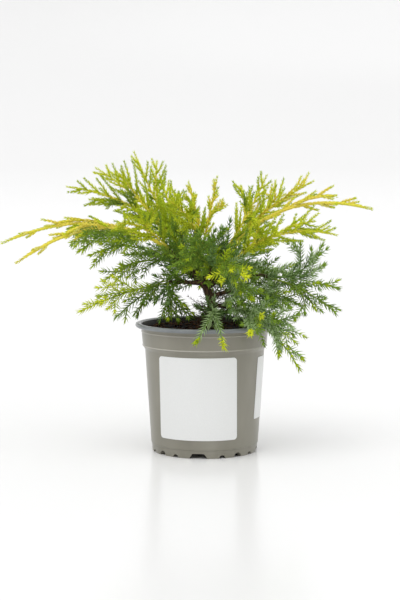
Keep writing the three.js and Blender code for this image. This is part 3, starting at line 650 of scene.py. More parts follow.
def offshoot(parent, share, length, angle, roll, lift):
    """A shoot that leaves its parent at an angle and a roll about it, and bends forward and up."""
    place, along, rise = parent.at(share)
    outward = parent.side * math.cos(roll) + rise * math.sin(roll)
    heading = along * math.cos(angle) + outward * math.sin(angle)
    last = unit(heading + along * FORWARD_TURN + UP * lift)
    return Path(place, place + heading * length * SHOOT_HOLD, place + last * length)


def flat_roll(parent, share, index):
    """The roll that lays a shoot to one side or the other of its parent, as the front light draws it."""
    _, along, rise = parent.at(share)
    across = np.cross(FRONT, along)
    if np.linalg.norm(across) < 0.2:
        across = EAST
    return parent.bearing(rise, across) + math.pi * index


def shoot_share(share):
    return min(FIRST_SHOOT_SHARE + SHOOT_SHARE_GAIN * share, 1) * (1 - SHOOT_SHARE_LOSS * share)


def clears_pot(places, reach):
    """Which places keep off the pot's rim and wall and off the soil, by a reach."""
    out = np.hypot(places[:, 0], places[:, 1])
    low = places[:, 2] - reach
    in_rim = (low < RIM_HEIGHT) & (out + reach > SHOULDER_LOW_RADIUS - WALL) & (out - reach < RIM_RADIUS)
    in_soil = (low < SOIL_TOP) & (out < RIM_RADIUS)
    return ~(in_rim | in_soil)


def limb_balls():
    """Places along the trunk and the boughs, and the limbs' radii there."""
    carriers = [(TRUNK, trunk_radius, 24)] + [(bough_path(name), bough_radius, 14) for name in BOUGHS]
    shares = [np.linspace(0, 1, steps) for _, _, steps in carriers]
    places = [path.spread(0, steps) for path, _, steps in carriers]
    radii = [radius_at(share, 0 * share) for (_, radius_at, _), share in zip(carriers, shares)]
    return np.concatenate(places), np.concatenate(radii)


LIMB_PLACES, LIMB_RADII = limb_balls()


def clears_limbs(places, reach):
    """Which places keep off the trunk and the boughs."""
    clear = np.ones(len(places), dtype=bool)
    for centre, radius in zip(LIMB_PLACES, LIMB_RADII):
        clear &= ((places - centre) ** 2).sum(axis=1) > (radius + reach) ** 2
    return clear


def has_room(points):
    """Whether a shoot keeps off the pot, the soil and the limbs."""
    return clears_pot(points, SHOOT_REACH + CLEARANCE).all() and clears_limbs(points, SHOOT_REACH).all()


# Twigs and needles, gathered by colour

needle_rows = {name: [] for name in NEEDLES}
twig_meshes = {name: Joined() for name in TWIGS}


def add_twig(colour, path, base, tip, sides, rings):
    def radius_at(share, angle):
        return blend(base, tip, share)
    twig_meshes[colour].add(*limb(path, radius_at, sides, rings))


def place_needles(path, habit, colour, share, around, lean, length, core):
    """Needles of one colour on a path: shares along it, turns about it, leans off it and lengths."""
    place, along, rise = path.at(share)
    outward = path.outward(rise, around)
    heading = along * np.cos(lean)[:, None] + outward * np.sin(lean)[:, None]
    foot = place + outward * (NEEDLE_FOOT * core)[:, None]
    shape = np.tile((habit["needle_width"], habit["bow"]), (len(share), 1))
    needle_rows[colour].append(np.concatenate((foot, heading, outward, length[:, None], shape), axis=1))


def add_tuft(path, habit, colour, random, count, leans=TUFT_LEAN):
    """A bushy growing end: needles that spread from the last of a path."""
    share = random.uniform(FIRST_TUFT_NEEDLE, 1, count)
    around = random.uniform(0, 2 * math.pi, count)
    lean = np.radians(random.uniform(*leans, count))
    length = habit["needle"] * random.uniform(*TUFT_LENGTHS, count)
    place_needles(path, habit, colour, share, around, lean, length, np.zeros(count))


def add_needles(path, habit, colours, random, first, core, core_tip, size=1.0, tip_share=TIP_SHARE):
    """Whorls of three needles round a path of two radii, closing up towards its tip."""
    whorls = max(int(path.length * (1 - first) / habit["pitch"]), 2)
    share = np.repeat(blend(first, 1.0, (np.arange(whorls) + 0.5) / whorls), 3)
    count = len(share)
    share = np.clip(share + random.normal(0, WHORL_SLIP * habit["pitch"] / path.length, count), 0, 1)
    whorl = np.repeat(np.arange(whorls), 3)
    corner = np.tile(np.arange(3), whorls)
    if habit["needle"] > LONGEST_WHORLED_NEEDLE:
        turn = np.choose(corner, (0, 180, 90)) + 180 * (whorl % 2) * (corner == 2)
        around = flat_roll(path, 0.5, 0) + np.radians(turn) + random.normal(0, RANK_WANDER, count)
    else:
        around = np.radians(120 * corner + 60 * whorl) + random.normal(0, WHORL_WANDER, count)
    closing = 1 - habit["closing"] * share ** 2
    lean = np.radians(habit["needle_angle"] * closing * random.uniform(*LEAN_SPREAD, count))
    length = habit["needle"] * size * random.uniform(*NEEDLE_SPREAD, count) * (1 - NEEDLE_LOSS * share ** 2)
    radius = blend(core, core_tip, share)
    for part, colour in zip((share <= tip_share, share > tip_share), colours):
        place_needles(path, habit, colour, share[part], around[part], lean[part], length[part], radius[part])


def dress(path, habit, colours, random, first, thickness, size, sides, rings):
    """A shoot's or a spray's core, needles and bushy end."""
    core, core_tip = habit["core"], habit["core_tip"]
    add_twig(CORES[colours[0]], path, core * thickness, core_tip, sides, rings)
    add_needles(path, habit, colours, random, first, core, core_tip, size)
    add_tuft(path, habit, colours[1], random, habit["tuft"])


def grow_spray(shoot, index, habit, colours, random):
    """A spray of the second order: a short twig that leaves a shoot on one side or the other."""
    share = (index + FIRST_SPRAY) * habit["spray_pitch"] / shoot.length
    length = habit["spray"] * (1 - SPRAY_LOSS * share) * random.uniform(*SPRAY_SPREAD)
    angle = math.radians(habit["spray_angle"] + random.normal(0, SPRAY_ANGLE_SPREAD))
    roll = flat_roll(shoot, share, index) + math.radians(random.normal(0, FLAT_SPREAD))
    path = offshoot(shoot, share, length, angle, roll, habit["lift"])
    if clears_pot(path.spread(0, 4), CLEARANCE).all():
        dress(path, habit, colours, random, FIRST_SPRAY_NEEDLE, SPRAY_CORE, SPRAY_NEEDLE, 3, 2)


def deal(colour, share, seed, number, bright_tip=None):
    """The colours of one shoot's needles and of their growing end."""
    _, inner, middle, outer = DEALT[colour]
    choices = inner if share < INNER_SHARE else middle if share < MIDDLE_SHARE else outer
    body = choices[int(chance(seed, number, 7) * len(choices))]
    end = TIP_COLOURS[body] if share > FIRST_LIGHT_TIP else body
    return body, bright_tip or end


def grow_shoot(shoot, habit, colours, sprayed, random):
    """A shoot with its needles, and with sprays of the second order if it bears them."""
    dress(shoot, habit, colours, random, FIRST_SHOOT_NEEDLE, 1, 1, 4, 3)
    if sprayed:
        for spray in range(int(shoot.length * SPRAYED_SHARE / habit["spray_pitch"])):
            grow_spray(shoot, spray, habit, colours, random)


def stem_colours(name, colour, is_fork):
    """The colours of a stem's needles and of its end, which is greener on the fork of a bright sprig."""
    _, _, middle, _ = DEALT[colour]
    body = {"whip": "whip", "gold": "gold", "lime": "gold"}.get(colour, middle[0])
    bright = BRIGHT_TIPS.get(name, NO_BRIGHT_TIP)[0]
    if bright and not is_fork:
        return body, bright
    return body, TIP_COLOURS[bright or body]


def grow_stem(stem, radius, is_fork, name, habit, colour, random):
    """A stem with its own needles and a bushy or star-shaped end."""
    add_twig(DEALT[colour][0], stem, radius, habit["stem_tip"], 6, 12)
    colours = stem_colours(name, colour, is_fork)
    size = SPARSE_STEM_NEEDLE if name in SPARSE else STEM_NEEDLE
    tip_share = STAR_TIP_SHARE if name in STARS else TIP_SHARE
    add_needles(stem, habit, colours, random, FIRST_STEM_NEEDLE, radius, habit["stem_tip"], size, tip_share)
    end = (STAR_NEEDLES, STAR_LEAN) if name in STARS else (2 * habit["tuft"], TUFT_LEAN)
    add_tuft(stem, habit, colours[1], random, *end)


def grow_mass_shoot(stem, stem_index, index, share, seed, name, habit, colour):
    """A shoot of a mass. The part's own keep their order numbers, and the finer ones have others."""
    coarse, between = divmod(index, FINE)
    own = between == FINE // 2
    if between not in habit["kept"] or not own and (name in SPARSE or share < habit["first_single"]):
        return
    number = stem_index * 100 + (coarse if own else FIRST_FINE_NUMBER + index)
    varied = 1 + LENGTH_SPREAD * (chance(seed, number, 1) - 0.5)
    length = habit["shoot"] * shoot_share(share) * varied * SLENDER.get(name, 1)
    lean = habit["angle"]
    roll = math.radians(coarse * ROLL_STEP)
    if not own:
        length *= habit["single_length"]
        lean = habit["single_angle"]
        roll = flat_roll(stem, share, index)
    angle = math.radians(lean + ANGLE_SPREAD * (chance(seed, number, 2) - 0.5))
    roll += math.radians(ROLL_SPREAD * (chance(seed, number, 3) - 0.5))
    shoot = offshoot(stem, share, length, angle, roll, DROOP.get(name, habit["lift"]))
    if has_room(shoot.spread(0.15, 6)):
        bright, first_bright = BRIGHT_TIPS.get(name, NO_BRIGHT_TIP)
        colours = deal(colour, share, seed, number, bright if share > first_bright else None)
        sprayed = own and share < LAST_SPRAYED_SHOOT and name not in SLENDER
        grow_shoot(shoot, habit, colours, sprayed, np.random.default_rng((seed, number)))


def grow_mass(seed, name, bough, tip, fork, bend, habit_name, colour, standoff):
    """A mass of foliage: a leader and its fork, with their shoots."""
    habit = HABITS[habit_name]
    colour = DEALT_OTHERWISE.get(name, colour)
    leader = leader_path(bough, tip, bend, standoff)
    fork_radius = blend(STEM_RADIUS, STEM_TIP_RADIUS, FORK_SHARE)
    stems = (
        (leader, STEM_RADIUS, LEADER_SHOOTS, FIRST_SHOOT),
        (fork_path(leader, fork, bend), fork_radius, FORK_SHOOTS, FIRST_FORK_SHOOT),
    )
    for stem_index, (stem, radius, shoots, first) in enumerate(stems):
        random = np.random.default_rng((seed, stem_index))
        grow_stem(stem, radius, stem_index == 1, name, habit, colour, random)
        for index in range(shoots if SLENDER.get(name, 1) else 0):
            share = first + (LAST_SHOOT - first) * (index + 0.5) / shoots
            grow_mass_shoot(stem, stem_index, index, share, seed, name, habit, colour)
    if name in LEAFY_WHIPS:
        grow_leafy_shoots(WHIP_SEED + seed, leader, *WHIP_SHOOTS, hanging=True)


def grow_leafy_shoots(seed, carrier, colour, reach, first=FIRST_LEAFY_SHOOT, last=1, hanging=False):
    """Leafy shoots all round a limb, or on its lower side only where they hang."""
    shoots = int(carrier.length * (last - first) / LEAFY_SHOOT_PITCH)
    for index in range(shoots):
        random = np.random.default_rng((seed, index))
        share = blend(first, last, (index + 0.5) / shoots)
        angle = math.radians(LEAFY_SHOOT_ANGLE + random.normal(0, LEAFY_ANGLE_SPREAD))
        roll = math.radians(index * GOLDEN_ANGLE + random.normal(0, LEAFY_ROLL_SPREAD))
        length = reach * random.uniform(*LEAFY_SHOOT_SPREAD)
        shoot = offshoot(carrier, share, length, angle, roll, LEAFY_SHOOT_LIFT)
        points = shoot.spread(0.35, 5)
        rises = points[-1, 2] > carrier.at(share)[0][2]
        if has_room(points) and not (hanging and rises):
            colours = deal(colour, 0.4 * random.uniform(), seed, index)
            grow_shoot(shoot, HABITS["brush"], colours, index % 3 == 0, random)


def needle_template():
    """A needle along Z: three-sided, with a long sharp point and a short blunt foot."""
    bm = upright_cone(3, 0.5, 1 - NEEDLE_WIDEST, NEEDLE_WIDEST)
    cap = [face for face in bm.faces if face.normal.z < -0.9]
    poked = bmesh.ops.poke(bm, faces=cap)
    bmesh.ops.translate(bm, vec=(0, 0, -NEEDLE_WIDEST), verts=poked["verts"])
    return template(bm)


def needle_object(name, rows):
    """All needles of one colour as one mesh, without those that would cut the pot, soil or limbs."""
    place, heading, outward, length, width, bow = np.split(np.concatenate(rows), (3, 6, 9, 10, 11), axis=1)
    end = place + heading * length
    middle = place + heading * length / 2
    clear = clears_pot(end, CLEARANCE) & clears_pot(middle, CLEARANCE) & clears_limbs(end, 0)
    across = unit(np.cross(heading, outward))
    back = np.cross(across, heading)
    shape, faces = needle_template()
    off_axis = np.hypot(shape[:, 0], shape[:, 1]) > ON_AXIS
    places = place[:, None] + heading[:, None] * length[:, None] * shape[None, :, 2:3]
    places += across[:, None] * width[:, None] * shape[None, :, 0:1]
    places += back[:, None] * (width * NEEDLE_FLATNESS)[:, None] * shape[None, :, 1:2]
    places += back[:, None] * (bow * length)[:, None] * off_axis[None, :, None]
    starts = np.arange(clear.sum())[:, None, None] * len(shape)
    joined = Joined()
    joined.add(places[clear].reshape(-1, 3), (faces[None] + starts).reshape(-1, 3))
    return joined.object(name)


# Materials

def linear(colour):
    """An sRGB hex value as a linear colour."""
    channels = [((colour >> shift) & 255) / 255 for shift in (16, 8, 0)]
    return tuple(c / 12.92 if c <= 0.04045 else ((c + 0.055) / 1.055) ** 2.4 for c in channels) + (1.0,)


def add_node(tree, kind, settings, links=None):
    """Adds a node, sets its properties and sockets, and links its inputs from other sockets."""
    node = tree.nodes.new(kind)
    for name, value in settings.items():
        if name in node.inputs:
            node.inputs[name].default_value = value
        else:
            setattr(node, name, value)
    for name, source in (links or {}).items():
        tree.links.new(source, node.inputs[name])
    return node


def new_material(name, **values):
    """A material with plain values on its shader's sockets, its node tree and its shader."""
    names = {"base": "Base Color", "rough": "Roughness", "ior": "IOR", "specular": "Specular IOR Level"}
    material = bpy.data.materials.new(name)
    material.use_nodes = True
    tree = material.node_tree
    shader = tree.nodes["Principled BSDF"]
    for key, value in values.items():
        shader.inputs[names[key]].default_value = value
    return material, tree, shader


def ramp(tree, source, stops):
    """A colour ramp of (position, sRGB hex) stops, fed by a socket."""
    node = add_node(tree, "ShaderNodeValToRGB", {}, {"Fac": source})
    elements = node.color_ramp.elements
    while len(elements) < len(stops):
        elements.new(0.5)
    for element, (position, colour) in zip(elements, stops):
        element.position = position
        element.color = linear(colour)
    return node.outputs["Color"]


def blotch(tree, shader, size_mm, stops=(), relief=None, detail=3, stretch=(1, 1, 1), roughness=0.5):
    """Noise on Object coordinates, with blobs of a real size, that tints a surface or raises it.

    The relief is the bump's strength and its height in millimetres.
    """
    where = add_node(tree, "ShaderNodeTexCoord", {})
    scaled = add_node(tree, "ShaderNodeMapping", {"Scale": stretch}, {"Vector": where.outputs["Object"]})
    settings = {"Scale": 1 / (size_mm * MM), "Detail": detail, "Roughness": roughness}
    noise_node = add_node(tree, "ShaderNodeTexNoise", settings, {"Vector": scaled.outputs["Vector"]})
    height = noise_node.outputs["Fac"]
    if stops:
        tree.links.new(ramp(tree, height, stops), shader.inputs["Base Color"])
    if relief:
        settings = {"Strength": relief[0], "Distance": relief[1] * MM}
        bump = add_node(tree, "ShaderNodeBump", settings, {"Height": height})
        tree.links.new(bump.outputs["Normal"], shader.inputs["Normal"])


def moulded_plastic(name, dark, light, roughness):
    """Grey polypropylene, thermoformed: satin, with faint streaks and dust that lighten it."""
    material, tree, shader = new_material(name, rough=roughness, ior=1.49)
    blotch(tree, shader, 26, ((0.3, dark), (0.7, light)), stretch=(1, 1, 0.35))
    blotch(tree, shader, 1.2, relief=(0.12, 0.1), detail=2, stretch=(1, 1, 6))
    return material


def label_paper():
    """Bare white label paper: smooth and semi-matt, with a trace of its fibres."""
    material, tree, shader = new_material("label_paper_bare", rough=0.42, ior=1.45)
    blotch(tree, shader, 0.8, ((0.2, 0xE1E2E1), (0.8, 0xE8E9E8)), (0.06, 0.05), detail=4)
    return material


def peat(name, dark, light):
    """Moist peat: nearly black, matt, with crumbs about 2 mm across."""
    material, tree, shader = new_material(name, rough=0.9, ior=1.4, specular=0.12)
    blotch(tree, shader, 2.2, ((0.35, dark), (0.62, light)), (0.8, 0.6), detail=5, roughness=0.65)
    return material


def juniper_bark():
    """Young juniper bark: brown and dry, with grey flakes in long strips about 1.5 mm wide."""
    material, tree, shader = new_material("juniper_bark", rough=0.85, ior=1.45)
    stops = ((0.3, 0x1E140D), (0.5, 0x44301F), (0.72, 0x77593E))
    blotch(tree, shader, 1.6, stops, (0.7, 0.3), detail=4, stretch=(1, 1, 0.3))
    return material


def needle_wax(name, colour):
    """A living needle: waxy, so it has a soft highlight. One plain colour, dealt out by spray."""
    return new_material(name, base=linear(colour), rough=0.55, ior=1.4, specular=0.18)[0]


# Pot, soil and labels

def ring_edges(bm, radius, height):
    """Edges of a turned shape that run round its axis at a radius and a height."""
    def on_ring(vertex):
        out = math.hypot(vertex.co.x, vertex.co.y)
        return abs(out - radius) < 0.02 and abs(vertex.co.z - height) < 0.02
    return [edge for edge in bm.edges if all(on_ring(vertex) for vertex in edge.verts)]


def turn_profile(profile, steps):
    """Spins a closed half outline of radius and height, whose two ends lie on the axis."""
    bm = bmesh.new()
    corners = [bm.verts.new((radius, 0, height)) for radius, height in profile]
    edges = [bm.edges.new(pair) for pair in zip(corners, corners[1:])]
    bmesh.ops.spin(
        bm, geom=corners + edges, axis=(0, 0, 1), cent=(0, 0, 0), angle=2 * math.pi, steps=steps,
        use_merge=True)
    bmesh.ops.remove_doubles(bm, verts=bm.verts[:], dist=0.001)
    bmesh.ops.recalc_face_normals(bm, faces=bm.faces[:])
    return bm


def cut(piece, cutters):
    """Cuts closed bmeshes out of a piece and removes the cutters."""
    for bm in cutters:
        tool = finish_bmesh(bm, "cutter")
        modifier = piece.modifiers.new("cut", "BOOLEAN")
        modifier.operation = "DIFFERENCE"
        modifier.solver = "EXACT"
        modifier.object = tool
        depsgraph = bpy.context.evaluated_depsgraph_get()
        mesh = bpy.data.meshes.new_from_object(piece.evaluated_get(depsgraph))
        piece.modifiers.clear()
        piece.data = mesh
        bpy.data.objects.remove(tool)


def wide_notch():
    """A block across the foot ring, wider at the floor, whose slope is carried on below it."""
    half_high = WIDE_NOTCH_HIGH / 2
    half_low = half_high + (WIDE_NOTCH_LOW / 2 - half_high) * (1 + CUTTER_OVERLAP / WIDE_NOTCH_HEIGHT)
    bm = bmesh.new()
    bmesh.ops.create_cube(bm, size=1)
    for vertex in bm.verts:
        low = vertex.co.z < 0
        vertex.co.x = blend(NOTCH_INNER, NOTCH_OUTER, vertex.co.x + 0.5)
        vertex.co.y *= 2 * (half_low if low else half_high)
        vertex.co.z = -CUTTER_OVERLAP if low else WIDE_NOTCH_HEIGHT
    return bm


def bar(radius, length, matrix):
    """A round bar that cuts a round notch or a drain hole."""
    bm = bmesh.new()
    bmesh.ops.create_cone(
        bm, cap_ends=True, segments=24, radius1=radius, radius2=radius, depth=length, matrix=matrix)
    return bm


def about_axis(radius, angle, height):
    """A place at a radius and an angle about the pot's axis."""
    return radius * math.cos(angle), radius * math.sin(angle), height


def turned(bm, degrees):
    """The bmesh, turned about the pot's axis."""
    turn = Matrix.Rotation(math.radians(degrees), 3, "Z")
    bmesh.ops.rotate(bm, verts=bm.verts[:], cent=(0, 0, 0), matrix=turn)
    return bm


def foot_cutters():
    """What is cut out of the pot: the water ways through its foot ring and the drain holes."""
    middle = Matrix.Translation(((NOTCH_INNER + NOTCH_OUTER) / 2, 0, 0))
    lying = middle @ Matrix.Rotation(math.pi / 2, 4, "Y")
    cutters = []
    for quarter in range(QUARTERS):
        angle = FRONT_NOTCH_ANGLE + quarter * 360 / QUARTERS
        cutters.append(turned(wide_notch(), angle))
        for turn, radius in ROUND_NOTCHES:
            cutters.append(turned(bar(radius, NOTCH_OUTER - NOTCH_INNER, lying), angle + turn))
    for hole in range(DRAIN_HOLES):
        centre = about_axis(DRAIN_RING_RADIUS, hole * 2 * math.pi / DRAIN_HOLES, FLOOR_UNDERSIDE)
        cutters.append(bar(DRAIN_HOLE_RADIUS, 2 * CUTTER_OVERLAP, Matrix.Translation(centre)))
    return cutters


def pot():
    """The thermoformed pot: pad, raised floor, foot ring with water ways, body, shoulder and rolled lip."""
    floor_top = FLOOR_UNDERSIDE + WALL
    line_radius = blend(
        SHOULDER_LOW_RADIUS, SHOULDER_TOP_RADIUS,
        (SHOULDER_LINE_HEIGHT - SHOULDER_LOW_HEIGHT) / (SHOULDER_TOP_HEIGHT - SHOULDER_LOW_HEIGHT))
    profile = (
        (0, 0),
        (STANDING_PAD_RADIUS, 0),
        (STANDING_PAD_RADIUS + 2 * DRAFT, FLOOR_UNDERSIDE),
        (FOOT_RING_INNER_RADIUS - DRAFT, FLOOR_UNDERSIDE),
        (FOOT_RING_INNER_RADIUS, 0),
        (FOOT_RADIUS, 0),
        (FOOT_TOP_RADIUS, FOOT_HEIGHT),
        (BODY_LOW_RADIUS, FOOT_HEIGHT + 0.4),
        (BODY_TOP_RADIUS, BODY_TOP_HEIGHT),
        (SHOULDER_LOW_RADIUS, SHOULDER_LOW_HEIGHT - BEAD / 2),
        (SHOULDER_LOW_RADIUS + BEAD, SHOULDER_LOW_HEIGHT),
        (SHOULDER_LOW_RADIUS + BEAD, SHOULDER_LOW_HEIGHT + BEAD / 2),
        (SHOULDER_LOW_RADIUS + 0.05, SHOULDER_LOW_HEIGHT + 2 * BEAD),
        (line_radius, SHOULDER_LINE_HEIGHT - BEAD),
        (line_radius + BEAD, SHOULDER_LINE_HEIGHT),
        (line_radius + 0.1, SHOULDER_LINE_HEIGHT + 2 * BEAD),
        (SHOULDER_TOP_RADIUS, SHOULDER_TOP_HEIGHT),
        (RIM_RADIUS - RIM_ROUNDING, RIM_UNDERSIDE),
        (RIM_RADIUS, RIM_UNDERSIDE + RIM_ROUNDING),
        (RIM_RADIUS, RIM_HEIGHT - 1.6),
        (RIM_RADIUS - 0.5, RIM_HEIGHT - 0.6),
        (RIM_CREST_RADIUS, RIM_HEIGHT),
        (RIM_INNER_RADIUS + RIM_ROUNDING, RIM_HEIGHT - RIM_ROUNDING / 3),
        (RIM_INNER_RADIUS - DRAFT, RIM_HEIGHT - WALL),
        (SHOULDER_TOP_RADIUS - WALL, SHOULDER_TOP_HEIGHT),
        (SHOULDER_LOW_RADIUS - WALL, SHOULDER_LOW_HEIGHT),
        (BODY_TOP_RADIUS - WALL, BODY_TOP_HEIGHT),
        (BODY_LOW_RADIUS - WALL, floor_top),
        (STANDING_PAD_RADIUS + DRAFT, floor_top),
        (STANDING_PAD_RADIUS - DRAFT, WALL),
        (0, WALL),
    )
    bm = turn_profile(profile, POT_STEPS)
    rounded = (
        (FOOT_RADIUS, 0, 0.5), (FOOT_RING_INNER_RADIUS, 0, 0.5), (FOOT_TOP_RADIUS, FOOT_HEIGHT, 0.15),
        (BODY_TOP_RADIUS, BODY_TOP_HEIGHT, 0.5),
        (SHOULDER_TOP_RADIUS, SHOULDER_TOP_HEIGHT, 0.4), (RIM_RADIUS, RIM_UNDERSIDE + RIM_ROUNDING, 0.4),
        (RIM_RADIUS, RIM_HEIGHT - 1.6, 0.4), (RIM_CREST_RADIUS, RIM_HEIGHT, 0.7),
    )
    for radius, height, offset in rounded:
        bmesh.ops.bevel(
            bm, geom=ring_edges(bm, radius, height), offset=offset, segments=3, affect="EDGES",
            profile=0.5, material=-1)
    piece = finish_bmesh(bm, "nursery_pot")
    cut(piece, foot_cutters())
    piece.data.shade_smooth()
    with_sharp_edges(piece, 34)
    return piece


def part_pot_faces(piece):
    """Gives the rolled lip (its plastic with painted sheen), the inside (peat stain and painted shade) and
    the bead edges (painted highlight) their own materials.
    """
    lip, inside, edge = 1, 2, 3
    for face in piece.data.polygons:
        out = math.hypot(face.center.x, face.center.y) / MM
        height = face.center.z / MM
        inward = face.normal.x * face.center.x + face.normal.y * face.center.y < 0
        # The rolled lip: its plastic with painted sheen
        if height > RIM_UNDERSIDE and out > RIM_INNER_RADIUS - DRAFT:
            face.material_index = lip
        # The inside: peat stain and painted shade
        elif inward and height > FLOOR_UNDERSIDE + WALL:
            face.material_index = inside
        # The beads: painted highlight
        elif any(0 < height - foot < 2 * BEAD for foot in (SHOULDER_LOW_HEIGHT, SHOULDER_LINE_HEIGHT)):
            face.material_index = edge


def with_sharp_edges(piece, degrees):
    """Keeps smooth shading off edges that are sharper than an angle."""
    piece.data.set_sharp_from_angle(angle=math.radians(degrees))


def peat_heap(out):
    """How far the peat is heaped up against the wall, at a distance from the axis."""
    return PEAT_HEAP * min(max((out - PEAT_HEAP_START) / PEAT_HEAP_WIDTH, 0), 1)


def soil():
    """Peat with a crumbly top, heaped up a little towards the wall."""
    rings = 26
    edge = SHOULDER_TOP_RADIUS - SOIL_GAP - DRAFT
    profile = [
        (0, WALL + CLEARANCE),
        (STANDING_PAD_RADIUS - 2 * DRAFT, WALL + CLEARANCE),
        (STANDING_PAD_RADIUS, FLOOR_UNDERSIDE + SOIL_GAP),
        (BODY_LOW_RADIUS - SOIL_GAP, FLOOR_UNDERSIDE + SOIL_GAP),
        (BODY_TOP_RADIUS - SOIL_GAP, BODY_TOP_HEIGHT + DRAFT),
        (SHOULDER_LOW_RADIUS - SOIL_GAP, SHOULDER_LOW_HEIGHT + DRAFT),
    ]
    for ring in range(rings + 1):
        radius = edge * (1 - ring / rings)
        drop = SOIL_EDGE_DROP * max((radius - SOIL_LEVEL_RADIUS) / (edge - SOIL_LEVEL_RADIUS), 0)
        profile.append((radius, SOIL_TOP - drop))
    bm = turn_profile(profile, 96)
    for vertex in bm.verts:
        if vertex.co.z > SOIL_TOP - SOIL_EDGE_DROP - 0.1:
            heap = peat_heap(math.hypot(vertex.co.x, vertex.co.y))
            broad = BROAD_RELIEF * noise.noise(vertex.co * 0.09)
            crumb = CRUMB_RELIEF * noise.noise(vertex.co * 0.45)
            vertex.co.z += heap + broad + crumb - 0.35
    return finish_bmesh(bm, "peat")


def soil_bits():
    """Bits of bark on the peat: small flattened chips, each turned its own way."""
    bm = bmesh.new()
    bmesh.ops.create_icosphere(bm, subdivisions=1, radius=1)
    shape, faces = template(bm)
    random = np.random.default_rng(SOIL_BIT_SEED)
    joined = Joined()
    for _ in range(SOIL_BITS):
        out = 55 * math.sqrt(random.uniform(0.01, 1))
        angle = random.uniform(0, 2 * math.pi)
        size = random.uniform(0.7, 2.4)
        rough = shape * random.uniform(0.75, 1.25, (len(shape), 1))
        chip = rough * (size * random.uniform(1, 1.8), size * random.uniform(0.5, 0.9), size * 0.35)
        tilt = Matrix.Rotation(random.normal(0, 0.35), 3, "X")
        tilt = np.array(tilt @ Matrix.Rotation(random.uniform(0, 6.3), 3, "Z"))
        drop = SOIL_EDGE_DROP * max((out - SOIL_LEVEL_RADIUS) / 11, 0)
        height = SOIL_TOP - drop + peat_heap(out) + 0.1
        joined.add(chip @ tilt.T + about_axis(out, angle, height), faces)
    piece = joined.object("bark_bits")
    piece.data.shade_flat()
    return piece


def body_radius(height):
    return blend(BODY_LOW_RADIUS, BODY_TOP_RADIUS, (height - FOOT_HEIGHT) / (BODY_TOP_HEIGHT - FOOT_HEIGHT))


def label(name, place):
    """A bare label with rounded corners, wrapped round the pot's body."""
    width = body_radius(place["low"]) * math.radians(place["to"] - place["from"])
    height = place["high"] - place["low"]
    bm = bmesh.new()
    bmesh.ops.create_grid(bm, x_segments=1, y_segments=1, size=0.5)
    bmesh.ops.scale(bm, vec=(width, height, 1), verts=bm.verts[:])
    bmesh.ops.bevel(
        bm, geom=bm.verts[:], offset=place["corner"], segments=6, affect="VERTICES",
        profile=0.5, material=-1)
    columns = int(width / LABEL_COLUMN_WIDTH)
    for column in range(1, columns):
        add_loop(bm, (blend(-width / 2, width / 2, column / columns), 0, 0), (1, 0, 0))
    extruded = bmesh.ops.extrude_face_region(bm, geom=bm.faces[:])
    raised = [item for item in extruded["geom"] if isinstance(item, bmesh.types.BMVert)]
    bmesh.ops.translate(bm, vec=(0, 0, LABEL_THICKNESS), verts=raised)
    for vertex in bm.verts:
        level = blend(place["low"], place["high"], vertex.co.y / height + 0.5)
        middle = math.radians((place["from"] + place["to"]) / 2)
        angle = middle + vertex.co.x / body_radius(level)
        vertex.co = about_axis(body_radius(level) + LABEL_CLEARANCE + vertex.co.z, angle, level)
    piece = finish_bmesh(bm, name)
    with_sharp_edges(piece, 40)
    return piece


# Trunk and boughs

def bark_relief(places, share, angle, height):
    """How far bark stands out at a corner: long strips that wander, broken by cracks."""
    strips = np.array([
        noise.noise(Vector((math.cos(a) * 2.2, math.sin(a) * 2.2, z * 0.16))) for a, z in zip(angle, share)])
    cracks = np.array([noise.noise(Vector(place) * 0.8) for place in places])
    return height * (0.7 * strips + 0.5 * cracks)


def bark_limb(path, radius_at, sides, height, longer=0.0):
    """One limb with relief and a rounded end, drawn out at its tip so that it meets the stems there."""
    def radius_with_relief(share, angle):
        relief = bark_relief(path.at(share)[0], share * path.length, angle, height)
        closing = np.minimum((1 - share) * path.length / BARK_END, 1) ** 0.5
        return (radius_at(share, angle) + relief) * np.maximum(closing, 0.4)
    return limb(path, radius_with_relief, sides, max(int(path.length / BARK_RING_PITCH), 6), longer)


def limbs():
    """Trunk and boughs under bark with relief, in one mesh."""
    joined = Joined()
    joined.add(*bark_limb(TRUNK, trunk_radius, 28, TRUNK_RELIEF))
    for name in BOUGHS:
        joined.add(*bark_limb(bough_path(name), bough_radius, 14, BOUGH_RELIEF, TIP_STRETCH))
    return joined.object("bark_limbs")


def dead_twigs():
    """Short dead twigs with dry needles round the foot of the trunk."""
    habit = HABITS["brush"] | DRY_NEEDLES
    for index in range(DEAD_TWIGS):
        random = np.random.default_rng((DEAD_TWIG_SEED, index))
        share = random.uniform(0.05, 0.4)
        length = random.uniform(8, 24)
        roll = math.radians(index * GOLDEN_ANGLE)
        path = offshoot(TRUNK, share, length + 5, math.radians(random.uniform(55, 85)), roll, -0.1)
        if clears_pot(path.spread(0.2, 5), SHOOT_REACH).all():
            add_twig("brown", path, 0.5, 0.2, 4, 3)
            add_needles(path, habit, ("dead", "dead"), random, 0.35, 0.5, 0.3)


# Make the pieces

def keep(piece, materials, slot, *nodes):
    """Gives a finished piece its materials and says where it belongs."""
    piece.data.materials.clear()
    for material in materials if isinstance(materials, tuple) else (materials,):
        piece.data.materials.append(material)
    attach(piece, "root")
    if nodes:
        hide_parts(*nodes)


